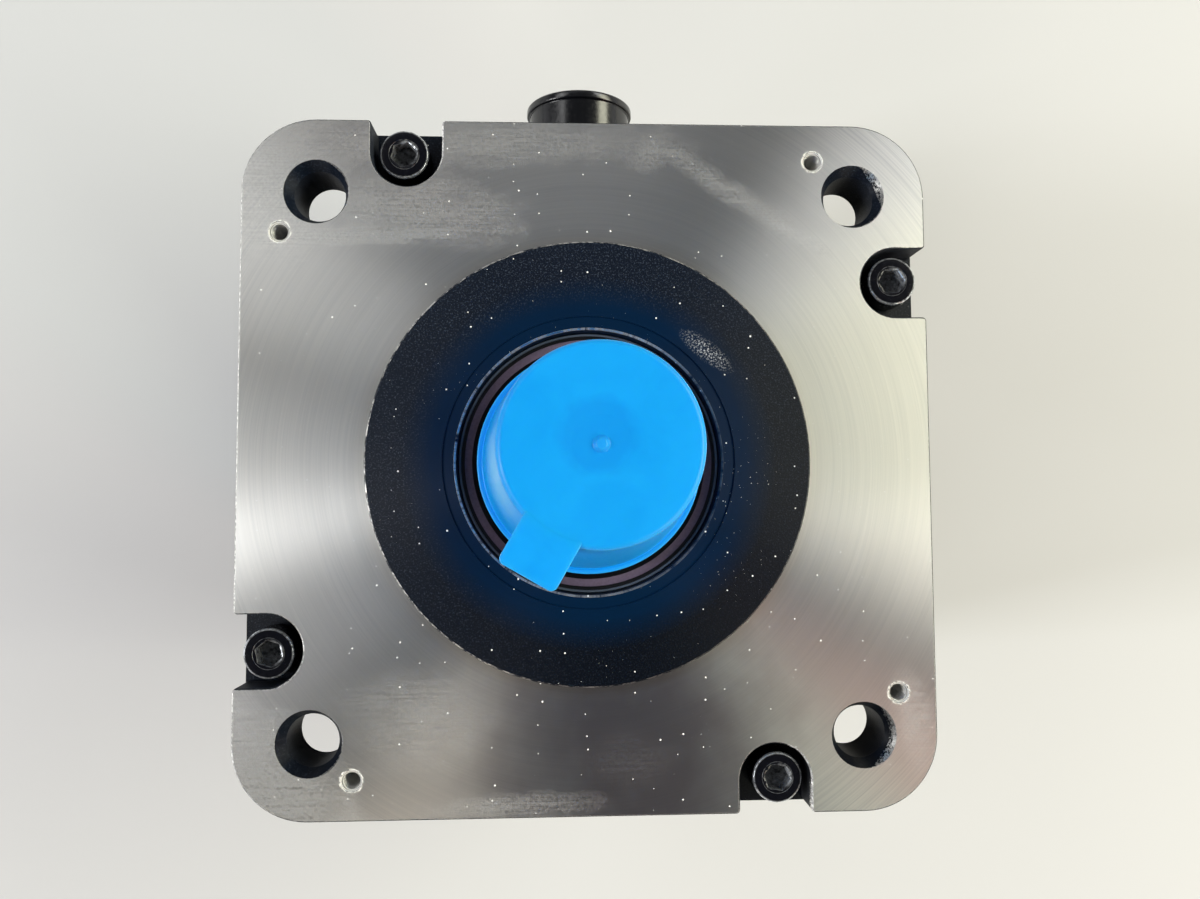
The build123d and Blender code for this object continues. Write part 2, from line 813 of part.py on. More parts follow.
# Rear bracket: the same outline as the frame, with the rear bearing's pocket
with BuildPart() as rear_bracket:
    with BuildSketch(level(bracket_rear)):
        add(body_outline.sketch)
    extrude(amount=bracket_thickness)
    chamfer(rear_bracket.edges().group_by(Axis.Z)[0], bracket_edge_break)
    with BuildSketch(level(frame_rear)):
        Circle(frame_bore / 2 - running_gap)
        Circle(frame_bore / 2 - spigot_wall, mode=Mode.SUBTRACT)
    extrude(amount=spigot_length)
    with Locations(level(frame_rear)):
        Hole(radius=rear_bearing.outer / 2 + seat_gap, depth=frame_rear - spring_rear)
        Hole(radius=bracket_bore / 2, depth=bracket_thickness)
    with Locations(rear_level(bracket_rear)):
        with GridLocations(2 * bracket_screw_shift, 2 * bracket_screw_reach, 2, 2):
            CounterBoreHole(
                radius=bracket_screw_size / 2 + rest_gap,
                counter_bore_radius=head_radius(bracket_screw_size) + head_gap,
                counter_bore_depth=bracket_head_recess,
                depth=bracket_thickness,
            )
        with GridLocations(2 * cover_screw_shift, 2 * cover_screw_shift, 2, 2):
            Hole(radius=(cover_screw_size + thread_gap) / 2, depth=cover_thread_depth)
        with PolarLocations(encoder_screw_circle / 2, 3, start_angle=90):
            Hole(radius=(encoder_screw_size + thread_gap) / 2, depth=encoder_screw_length)
rear_bracket.part.label = "rear_bracket"
export_step(rear_bracket.part, "parts/rear_bracket.step")

with BuildPart() as bracket_screws:
    with Locations(rear_level(bracket_rear + bracket_head_recess)):
        with GridLocations(2 * bracket_screw_shift, 2 * bracket_screw_reach, 2, 2):
            add(cap_screw(bracket_screw_size, bracket_screw_length))
bracket_screws.part.label = "bracket_screws"
export_step(bracket_screws.part, "parts/bracket_screws.step")

# Wave spring that preloads the rear bearing, drawn flattened to its fitted height
with BuildPart() as wave_spring:
    with BuildSketch(level(rear_bearing_rear)):
        Circle(rear_bearing.outer / 2 - rest_gap)
        Circle(rear_bearing.outer / 2 - spring_band, mode=Mode.SUBTRACT)
    extrude(amount=-spring_height)
wave_spring.part.label = "wave_spring"
export_step(wave_spring.part, "parts/wave_spring.step")

# Encoder: the hub and disc turn with the shaft, the body and the board stand still
with BuildPart() as encoder_hub:
    with BuildSketch(level(neck_rear)):
        Circle(hub_outer / 2)
        Circle(encoder_stub_diameter / 2 + seat_gap, mode=Mode.SUBTRACT)
    extrude(amount=-hub_length)
encoder_hub.part.label = "encoder_hub"
export_step(encoder_hub.part, "parts/encoder_hub.step")

with BuildPart() as encoder_disc:
    with BuildSketch(level(hub_rear)):
        Circle(disc_diameter / 2)
        Circle(encoder_stub_diameter / 2 + seat_gap, mode=Mode.SUBTRACT)
    extrude(amount=-disc_thickness)
encoder_disc.part.label = "encoder_disc"
export_step(encoder_disc.part, "parts/encoder_disc.step")

with BuildPart() as disc_nut:
    with BuildSketch(level(disc_rear)):
        RegularPolygon(encoder_stub_diameter / 2 + nut_wall, 6)
        Circle(encoder_stub_diameter / 2 + seat_gap, mode=Mode.SUBTRACT)
    extrude(amount=-disc_clamp)
disc_nut.part.label = "disc_nut"
export_step(disc_nut.part, "parts/disc_nut.step")

with BuildPart() as encoder_body:
    with BuildSketch(rear_level(bracket_rear)):
        Circle(encoder_foot_diameter / 2)
        Circle(encoder_body_diameter / 2 - encoder_body_wall, mode=Mode.SUBTRACT)
        with PolarLocations(encoder_screw_circle / 2, 3, start_angle=90):
            Circle((encoder_screw_size + rest_gap) / 2, mode=Mode.SUBTRACT)
    extrude(amount=encoder_foot_thickness)
    with BuildSketch(rear_level(bracket_rear - encoder_foot_thickness)):
        Circle(encoder_body_diameter / 2)
        Circle(encoder_body_diameter / 2 - encoder_body_wall, mode=Mode.SUBTRACT)
    extrude(amount=encoder_body_length - encoder_foot_thickness)
encoder_body.part.label = "encoder_body"
export_step(encoder_body.part, "parts/encoder_body.step")

with BuildPart() as encoder_body_screws:
    with Locations(rear_level(bracket_rear - encoder_foot_thickness)):
        with PolarLocations(encoder_screw_circle / 2, 3, start_angle=90):
            add(cap_screw(encoder_screw_size, encoder_screw_length))
encoder_body_screws.part.label = "encoder_body_screws"
export_step(encoder_body_screws.part, "parts/encoder_body_screws.step")

read_head_height = disc_rear - read_head_gap - encoder_body_rear
with BuildPart() as encoder_board:
    with BuildSketch(level(encoder_body_rear)):
        Circle(encoder_body_diameter / 2)
    extrude(amount=-board_thickness)
    with BuildSketch(level(encoder_body_rear)):
        with Locations((0, disc_diameter / 2 - read_head_width / 2)):
            Rectangle(read_head_width, read_head_depth)
    extrude(amount=read_head_height)
encoder_board.part.label = "encoder_board"
export_step(encoder_board.part, "parts/encoder_board.step")

# Encoder cover: a cast box with a pad for its connector, its gasket and long screws
pad_width = encoder.flange + 2 * pad_margin
cover_inside = cover_side - 2 * cover_wall
with BuildPart() as encoder_cover:
    with BuildSketch(level(cover_front)):
        RectangleRounded(cover_side, cover_side, cover_corner)
    extrude(amount=-cover_length)
    fillet(encoder_cover.edges().group_by(Axis.Z)[0], cover_edge)
    with BuildSketch(top_level(0, encoder_axis)):
        RectangleRounded(pad_width, pad_width, encoder.flange_corner)
    extrude(amount=encoder_pad_top)
    with BuildSketch(level(cover_front)):
        RectangleRounded(cover_inside, cover_inside, cover_corner - cover_wall)
        with GridLocations(2 * cover_screw_shift, 2 * cover_screw_shift, 2, 2):
            Circle(cover_boss / 2, mode=Mode.SUBTRACT)
    extrude(amount=-(cover_length - cover_wall), mode=Mode.SUBTRACT)
    with Locations(rear_level(cover_rear)):
        with GridLocations(2 * cover_screw_shift, 2 * cover_screw_shift, 2, 2):
            CounterBoreHole(
                radius=cover_screw_size / 2 + rest_gap,
                counter_bore_radius=head_radius(cover_screw_size) + head_gap,
                counter_bore_depth=cover_head_recess,
                depth=cover_length,
            )
    with Locations(top_level(encoder_pad_top, encoder_axis)):
        Hole(
            radius=encoder.tail_diameter / 2 + rest_gap,
            depth=encoder_pad_top - cover_inside / 2 + rest_gap,
        )
        with GridLocations(encoder.hole_spacing, encoder.hole_spacing, 2, 2):
            Hole(radius=(encoder.screw_size + thread_gap) / 2, depth=encoder.screw_length)
encoder_cover.part.label = "encoder_cover"
export_step(encoder_cover.part, "parts/encoder_cover.step")

with BuildPart() as cover_gasket_ring:
    with BuildSketch(level(bracket_rear)):
        RectangleRounded(cover_side, cover_side, cover_corner)
        RectangleRounded(cover_inside, cover_inside, cover_corner - cover_wall, mode=Mode.SUBTRACT)
        with GridLocations(2 * cover_screw_shift, 2 * cover_screw_shift, 2, 2):
            Circle(cover_boss / 2)
            Circle(cover_screw_size / 2 + rest_gap, mode=Mode.SUBTRACT)
    extrude(amount=-cover_gasket)
cover_gasket_ring.part.label = "cover_gasket"
export_step(cover_gasket_ring.part, "parts/cover_gasket.step")

with BuildPart() as cover_screws:
    with Locations(rear_level(cover_rear + cover_head_recess)):
        with GridLocations(2 * cover_screw_shift, 2 * cover_screw_shift, 2, 2):
            add(cap_screw(cover_screw_size, cover_screw_length))
cover_screws.part.label = "cover_screws"
export_step(cover_screws.part, "parts/cover_screws.step")

# Terminal box: a cast box over the hole for the leads, its gasket and its screws
box_plane = top_level(box_foot, box_centre)
with BuildPart() as terminal_box:
    with BuildSketch(box_plane):
        RectangleRounded(box_width, box_length, box_corner)
    extrude(amount=box_height)
    fillet(terminal_box.edges().group_by(Axis.Y)[-1], box_edge)
    with BuildSketch(box_plane):
        RectangleRounded(
            box_width - 2 * box_wall, box_length - 2 * box_wall, box_corner - box_wall
        )
        with GridLocations(2 * box_screw_shift_x, 2 * box_screw_shift_z, 2, 2):
            Circle(box_boss / 2, mode=Mode.SUBTRACT)
    extrude(amount=box_height - box_wall, mode=Mode.SUBTRACT)
    with Locations(top_level(box_top, box_centre)):
        with GridLocations(2 * box_screw_shift_x, 2 * box_screw_shift_z, 2, 2):
            CounterBoreHole(
                radius=box_screw_size / 2 + rest_gap,
                counter_bore_radius=head_radius(box_screw_size) + head_gap,
                counter_bore_depth=box_head_recess,
                depth=box_height,
            )
    with Locations(top_level(box_top, power_axis)):
        Hole(radius=power.tail_diameter / 2 + rest_gap, depth=box_wall + rest_gap)
        with GridLocations(power.hole_spacing, power.hole_spacing, 2, 2):
            Hole(radius=(power.screw_size + thread_gap) / 2, depth=box_wall)
terminal_box.part.label = "terminal_box"
export_step(terminal_box.part, "parts/terminal_box.step")

with BuildPart() as box_gasket_ring:
    with BuildSketch(top_level(frame_side / 2, box_centre)):
        RectangleRounded(box_width, box_length, box_corner)
        RectangleRounded(
            box_width - 2 * box_wall, box_length - 2 * box_wall, box_corner - box_wall, mode=Mode.SUBTRACT
        )
        with GridLocations(2 * box_screw_shift_x, 2 * box_screw_shift_z, 2, 2):
            Circle(box_boss / 2)
            Circle(box_screw_size / 2 + rest_gap, mode=Mode.SUBTRACT)
    extrude(amount=box_gasket)
box_gasket_ring.part.label = "box_gasket"
export_step(box_gasket_ring.part, "parts/box_gasket.step")

with BuildPart() as box_screws:
    with Locations(top_level(box_top - box_head_recess, box_centre)):
        with GridLocations(2 * box_screw_shift_x, 2 * box_screw_shift_z, 2, 2):
            add(cap_screw(box_screw_size, box_screw_length))
box_screws.part.label = "box_screws"
export_step(box_screws.part, "parts/box_screws.step")

# Connectors: receptacle, insert, pins, gasket, screws and dust cap, on the box and on the cover
for connector, seat, axis_z in (
    (power, box_top, power_axis),
    (encoder, encoder_pad_top, encoder_axis),
):
    flange_foot = seat + connector.gasket
    flange_top = flange_foot + connector.flange_thickness
    shell_top = flange_top + connector.shell_length
    tail_foot = flange_foot - connector.tail_length
    insert_radius = connector.tail_diameter / 2 - connector.shell_wall
    insert_top = shell_top - connector.insert_recess

    with BuildPart() as receptacle:
        with BuildSketch(top_level(flange_foot, axis_z)):
            RectangleRounded(connector.flange, connector.flange, connector.flange_corner)
            with GridLocations(connector.hole_spacing, connector.hole_spacing, 2, 2):
                Circle((connector.screw_size + rest_gap) / 2, mode=Mode.SUBTRACT)
        extrude(amount=connector.flange_thickness)
        with BuildSketch(top_level(flange_top, axis_z)):
            Circle(connector.shell / 2)
            Circle(connector.shell / 2 - connector.shell_wall, mode=Mode.SUBTRACT)
        extrude(amount=connector.shell_length)
        with BuildSketch(top_level(tail_foot, axis_z)):
            Circle(connector.tail_diameter / 2)
        extrude(amount=connector.tail_length)
        with BuildSketch(top_level(tail_foot, axis_z)):
            Circle(insert_radius)
        extrude(amount=flange_top - tail_foot, mode=Mode.SUBTRACT)
    receptacle.part.label = f"{connector.name}_receptacle"
    export_step(receptacle.part, f"parts/{connector.name}_receptacle.step")

    with BuildPart() as insert:
        with BuildSketch(top_level(tail_foot, axis_z)):
            Circle(insert_radius - seat_gap)
            with PolarLocations(connector.pin_circle / 2, connector.pin_count, start_angle=45):
                Circle(connector.pin_diameter / 2 + seat_gap, mode=Mode.SUBTRACT)
        extrude(amount=insert_top - tail_foot)
    insert.part.label = f"{connector.name}_insert"
    export_step(insert.part, f"parts/{connector.name}_insert.step")

    with BuildPart() as pins:
        with BuildSketch(top_level(tail_foot - connector.pin_tail, axis_z)):
            with PolarLocations(connector.pin_circle / 2, connector.pin_count, start_angle=45):
                Circle(connector.pin_diameter / 2)
        extrude(amount=insert_top + connector.pin_reach - tail_foot + connector.pin_tail)
    pins.part.label = f"{connector.name}_pins"
    export_step(pins.part, f"parts/{connector.name}_pins.step")

    with BuildPart() as flange_gasket:
        with BuildSketch(top_level(seat, axis_z)):
            RectangleRounded(connector.flange, connector.flange, connector.flange_corner)
            Circle(connector.tail_diameter / 2 + rest_gap, mode=Mode.SUBTRACT)
            with GridLocations(connector.hole_spacing, connector.hole_spacing, 2, 2):
                Circle((connector.screw_size + rest_gap) / 2, mode=Mode.SUBTRACT)
        extrude(amount=connector.gasket)
    flange_gasket.part.label = f"{connector.name}_gasket"
    export_step(flange_gasket.part, f"parts/{connector.name}_gasket.step")

    with BuildPart() as connector_screws:
        with Locations(top_level(flange_top, axis_z)):
            with GridLocations(connector.hole_spacing, connector.hole_spacing, 2, 2):
                add(cap_screw(connector.screw_size, connector.screw_length))
    connector_screws.part.label = f"{connector.name}_receptacle_screws"
    export_step(connector_screws.part, f"parts/{connector.name}_receptacle_screws.step")

    cap_inside = shell_top + rest_gap
    cap_top = cap_inside + connector.cap_end
    cap_inner = connector.shell / 2 + connector.cap_gap
    with BuildPart() as dust_cap:
        with BuildSketch(top_level(cap_inside - connector.cap_length, axis_z)):
            Circle(cap_inner + connector.cap_wall)
        extrude(amount=connector.cap_length + connector.cap_end)
        with BuildSketch(top_level(cap_top - connector.cap_lip_height, axis_z)):
            Circle(connector.cap_lip / 2)
        extrude(amount=connector.cap_lip_height)
        fillet(dust_cap.edges().group_by(Axis.Y)[-1], connector.cap_lip_round)
        with BuildSketch(top_level(cap_inside - connector.cap_length, axis_z)):
            Circle(cap_inner)
        extrude(amount=connector.cap_length, mode=Mode.SUBTRACT)
    dust_cap.part.label = f"{connector.name}_dust_cap"
    export_step(dust_cap.part, f"parts/{connector.name}_dust_cap.step")


def lead_path(points, bend):
    """The centre line of a lead: straight runs joined by tangent arcs of this radius."""
    with BuildLine() as path:
        if len(points) > 2:
            FilletPolyline(*points, radius=bend)
        else:
            Line(*points)
    return path.line


# Leads: from the windings up to the power pins, and from the board to the encoder pins
power_tail = box_top + power.gasket - power.tail_length - power.pin_tail
pin_offset = power.pin_circle / 2 / sqrt(2)
lead_start = coil_inner / 2 + coil_height + rest_gap
lead_turn = frame_side / 2 - lead_turn_inset
with BuildPart() as power_leads:
    for x in (-pin_offset, pin_offset):
        for level_below, pin_level in ((lead_first, pin_offset), (lead_second, -pin_offset)):
            start_z = stack_rear - level_below
            points = (
                (x, lead_start, start_z),
                (x, lead_turn, start_z),
                (x, power_tail - rest_gap - lead_diameter / 2, power_axis + pin_level),
            )
            with BuildSketch(top_level(lead_start, start_z)):
                with Locations((x, 0)):
                    Circle(lead_diameter / 2)
            sweep(path=lead_path(points, lead_bend))
power_leads.part.label = "power_leads"
export_step(power_leads.part, "parts/power_leads.step")

encoder_tail = encoder_pad_top + encoder.gasket - encoder.tail_length - encoder.pin_tail
board_edge = encoder_body_diameter / 2
board_middle = encoder_body_rear - board_thickness / 2
with BuildPart() as encoder_leads:
    for x in (-2 * encoder_lead, 0, 2 * encoder_lead):
        points = ((x, board_edge + rest_gap, board_middle), (x, encoder_tail - rest_gap, board_middle))
        with BuildSketch(top_level(board_edge + rest_gap, board_middle)):
            with Locations((x, 0)):
                Circle(encoder_lead / 2)
        sweep(path=lead_path(points, lead_bend))
encoder_leads.part.label = "encoder_leads"
export_step(encoder_leads.part, "parts/encoder_leads.step")

# Shaft cap: a tapered cup with a bead at its mouth, a pull tab and the moulding's gate mark
cap_inside = shaft_projection + cap_lift
cap_top = cap_inside + cap_end
cap_foot = pilot_height + cap_lift
bead_top = cap_foot + cap_bead_height
cap_end_inner = shaft_diameter / 2 + cap_shaft_gap
cap_end_outer = cap_end_inner + cap_wall
with BuildPart() as shaft_cap:
    with BuildSketch(Plane.XZ):
        with BuildLine():
            Polyline(
                (0, cap_top),
                (cap_end_outer, cap_top),
                (cap_foot_radius, bead_top),
                (cap_bead_radius, bead_top),
                (cap_bead_radius, cap_foot),
                (cap_foot_radius - cap_wall, cap_foot),
                (cap_end_inner, cap_inside),
                (0, cap_inside),
                close=True,
            )
        make_face()
    revolve(axis=Axis.Z)
    fillet(shaft_cap.edges().group_by(Axis.Z)[-1], cap_edge)
    with BuildSketch(level(cap_top)) as tab:
        with PolarLocations(0, 1, start_angle=tab_angle):
            with Locations((cap_end_outer + tab_length / 2 - tab_sink, 0)):
                RectangleRounded(tab_length + 2 * tab_sink, tab_width, tab_corner)
    extrude(amount=-tab_thickness)
    with BuildSketch(level(cap_top)):
        Circle(nub_diameter / 2)
    extrude(amount=nub_height)
shaft_cap.part.label = "shaft_cap"
export_step(shaft_cap.part, "parts/shaft_cap.step")
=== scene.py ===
import json
import math

import bmesh
import bpy
import numpy as np
from mathutils import Euler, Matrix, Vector


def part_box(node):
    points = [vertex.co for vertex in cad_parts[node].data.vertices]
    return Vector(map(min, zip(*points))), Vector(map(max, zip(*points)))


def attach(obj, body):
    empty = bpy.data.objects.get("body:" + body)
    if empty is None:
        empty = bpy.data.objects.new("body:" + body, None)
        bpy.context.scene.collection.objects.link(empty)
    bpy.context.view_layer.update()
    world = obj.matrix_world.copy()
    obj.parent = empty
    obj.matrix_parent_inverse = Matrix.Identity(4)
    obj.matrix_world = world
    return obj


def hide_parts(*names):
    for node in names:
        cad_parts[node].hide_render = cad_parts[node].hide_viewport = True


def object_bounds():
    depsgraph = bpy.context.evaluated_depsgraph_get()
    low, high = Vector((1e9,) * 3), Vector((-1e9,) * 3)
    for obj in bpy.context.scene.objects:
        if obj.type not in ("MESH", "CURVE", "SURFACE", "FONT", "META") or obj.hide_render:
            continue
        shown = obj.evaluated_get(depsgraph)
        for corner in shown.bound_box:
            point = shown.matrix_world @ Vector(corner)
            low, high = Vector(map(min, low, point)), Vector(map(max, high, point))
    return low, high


# AC servo motor with a 180 mm square flange, seen from above its shaft.
# Everything is in metres, with the origin at the centre of the mounting face and +Z along the shaft.
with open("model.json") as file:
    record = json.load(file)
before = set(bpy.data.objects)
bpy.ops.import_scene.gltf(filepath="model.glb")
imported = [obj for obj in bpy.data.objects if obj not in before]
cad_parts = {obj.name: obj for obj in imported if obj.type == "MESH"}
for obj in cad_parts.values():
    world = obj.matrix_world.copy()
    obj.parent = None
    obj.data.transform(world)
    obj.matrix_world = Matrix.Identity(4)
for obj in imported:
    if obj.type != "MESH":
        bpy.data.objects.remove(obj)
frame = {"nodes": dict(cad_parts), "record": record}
cad_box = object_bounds()
MM = 0.001
# What makes a Mix node blend colours, and the output that it then has
RGBA = {"data_type": "RGBA", "out": 2}


# Helpers for materials

def linear(colour):
    """The linear colour of an sRGB hex value such as 'c8c8c2', with alpha 1."""
    parts = [int(colour[i:i + 2], 16) / 255 for i in (0, 2, 4)]
    return tuple(p / 12.92 if p <= 0.04045 else ((p + 0.055) / 1.055) ** 2.4 for p in parts) + (1.0,)


def add(tree, kind, inputs=None, out=0, **settings):
    """Adds a shader node, sets its properties, sets or links its inputs, and returns one of its outputs."""
    node = tree.nodes.new("ShaderNode" + kind)
    for name, value in settings.items():
        setattr(node, name, value)
    for key, value in (inputs or {}).items():
        if isinstance(value, bpy.types.NodeSocket):
            tree.links.new(value, node.inputs[key])
        else:
            node.inputs[key].default_value = value
    return node.outputs[out] if node.outputs else None


def begin(name):
    """A new material, its empty tree and its Object coordinates in millimetres."""
    material = bpy.data.materials.new(name)
    material.use_nodes = True
    tree = material.node_tree
    tree.nodes.clear()
    place = add(tree, "TexCoord", out="Object")
    mm = add(tree, "VectorMath", {0: place, 1: (1000, 1000, 1000)}, operation="MULTIPLY")
    return material, tree, mm


def end(material, tree, shader):
    """Puts one Principled shader with these inputs on the material."""
    bsdf = add(tree, "BsdfPrincipled", shader)
    add(tree, "OutputMaterial", {"Surface": bsdf})
    return material


# Helpers for meshes

merge_distance = 0.002 * MM


def mesh_piece(name, points, faces, body, slot, replaces, smooth, wear=None):
    """A piece from points in millimetres and faces, in the finish of its slot.

    Doubles are merged, faces are turned outwards, and edges sharper than smooth degrees stay sharp.
    """
    mesh = bpy.data.meshes.new(name)
    mesh.from_pydata((np.asarray(points, float) * MM).tolist(), [], np.asarray(faces).tolist())
    if wear is not None:
        worn = mesh.attributes.new("wear", "FLOAT", "POINT")
        worn.data.foreach_set("value", np.asarray(wear, np.float32))
    tidy = bmesh.new()
    tidy.from_mesh(mesh)
    bmesh.ops.remove_doubles(tidy, verts=tidy.verts, dist=merge_distance)
    bmesh.ops.dissolve_degenerate(tidy, edges=tidy.edges, dist=merge_distance)
    bmesh.ops.recalc_face_normals(tidy, faces=tidy.faces)
    tidy.to_mesh(mesh)
    tidy.free()
    mesh.shade_smooth()
    mesh.set_sharp_from_angle(angle=math.radians(smooth))
    piece = bpy.data.objects.new(name, mesh)
    bpy.context.scene.collection.objects.link(piece)
    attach(piece, body)
    if replaces:
        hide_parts(*replaces)
    mesh.materials.clear()
    mesh.materials.append(finishes[slot])


def grid_faces(rows, columns):
    """Quads between neighbouring rows of a grid whose columns close on themselves."""
    row = np.arange(rows - 1)[:, None] * columns
    after = row + columns
    column = np.arange(columns)[None, :]
    beside = (column + 1) % columns
    corners = (row + column, row + beside, after + beside, after + column)
    return np.stack(np.broadcast_arrays(*corners), axis=-1).reshape(-1, 4)


def rounded(corners, steps):
    """A profile through (r, z, rounding) corners.

    Each corner with a rounding becomes an arc tangent to its two sides, of this many steps.
    """
    corners = np.asarray(corners, float)
    made = []
    for i, (r, z, size) in enumerate(corners):
        here = np.array((r, z))
        if size <= 0 or i in (0, len(corners) - 1):
            made.append(here[None])
            continue
        back = corners[i - 1, :2] - here
        ahead = corners[i + 1, :2] - here
        back /= np.linalg.norm(back)
        ahead /= np.linalg.norm(ahead)
        half = math.acos(np.clip(back @ ahead, -1, 1)) / 2
        reach = size / math.tan(half)
        middle = here + (back + ahead) / np.linalg.norm(back + ahead) * size / math.sin(half)
        first, last = here + back * reach - middle, here + ahead * reach - middle
        share = np.linspace(0, 1, steps + 1)[:, None]
        turn = math.pi - 2 * half
        arc = (np.sin((1 - share) * turn) * first + np.sin(share * turn) * last) / math.sin(turn)
        made.append(middle + arc)
    return np.concatenate(made)


def turned(profile, columns):
    """Points of a profile carried round Z: (r cos a, r sin a, z) for each column's angle a."""
    angle = np.arange(columns) * 2 * math.pi / columns
    ring = np.stack((np.cos(angle), np.sin(angle), np.zeros(columns)), axis=-1)
    points = profile[:, None, :1] * ring[None] + profile[:, None, 1:] * np.array((0.0, 0.0, 1.0))
    return points.reshape(-1, 3)


def upright(points, centre):
    """Turns points built round Z so that they stand along +Y, about this centre in millimetres."""
    points = np.asarray(points)
    return points[:, (0, 2, 1)] * (1, 1, -1) + np.asarray(centre, float)


def quarters(node):
    """Lowest and highest corner, in millimetres, of each of a node's four screws, one in each quarter."""
    data = frame["nodes"][node].data
    points = np.empty(len(data.vertices) * 3, np.float32)
    data.vertices.foreach_get("co", points)
    points = points.reshape(-1, 3).astype(float) / MM
    low, high = points.min(0), points.max(0)
    span = high - low
    across = [i for i in range(3) if i != int(np.argmin(span))]
    middle = (low + high) / 2
    side = points[:, across] > middle[across]
    found = []
    for a in (False, True):
        for b in (False, True):
            mine = points[(side[:, 0] == a) & (side[:, 1] == b)]
            found.append((mine.min(0), mine.max(0)))
    return found


# Finishes

# Wiped and handled places on the turned face: middle x and y, half length and half width, turn, strength
handled_places = (
    (-43.0, 66.0, 25.0, 9.0, -6.0, 0.55),
    (-54.0, 59.5, 34.0, 2.6, 3.0, 0.8),
    (36.0, 73.0, 27.0, 3.2, -33.0, 0.5),
    (17.0, 83.0, 7.0, 5.0, 30.0, 0.4),
    (-40.0, 84.0, 60.0, 6.0, 0.0, 0.4),
    (-80.0, 76.0, 22.0, 18.0, 45.0, 0.55),
    (-44.0, -65.0, 18.0, 12.0, 0.0, 0.4),
    (-80.0, -80.0, 34.0, 13.0, -45.0, 0.9),
    (-18.0, -87.0, 22.0, 3.2, 2.0, 0.6),
    (10.0, -76.0, 12.0, 7.0, 0.0, 0.1),
    (84.0, -67.0, 5.0, 12.0, 8.0, 0.6),
)
tapped_holes = ((60, 80), (-80, 60), (-60, -80), (80, -60))
# Where the finish changes, in millimetres: the tapped holes' burrs, bores and thread, the pilot's side, the
# start of its corner and of its raised end, and the two edges of the line round the seal's mouth
burr_radius = 2.6
bore_radius = 2.13
thread_pitch = 0.8
pilot_radius = 57.12
corner_radius = 56.75
raised_height = 2.6
mouth_radii = (34.0, 34.55)


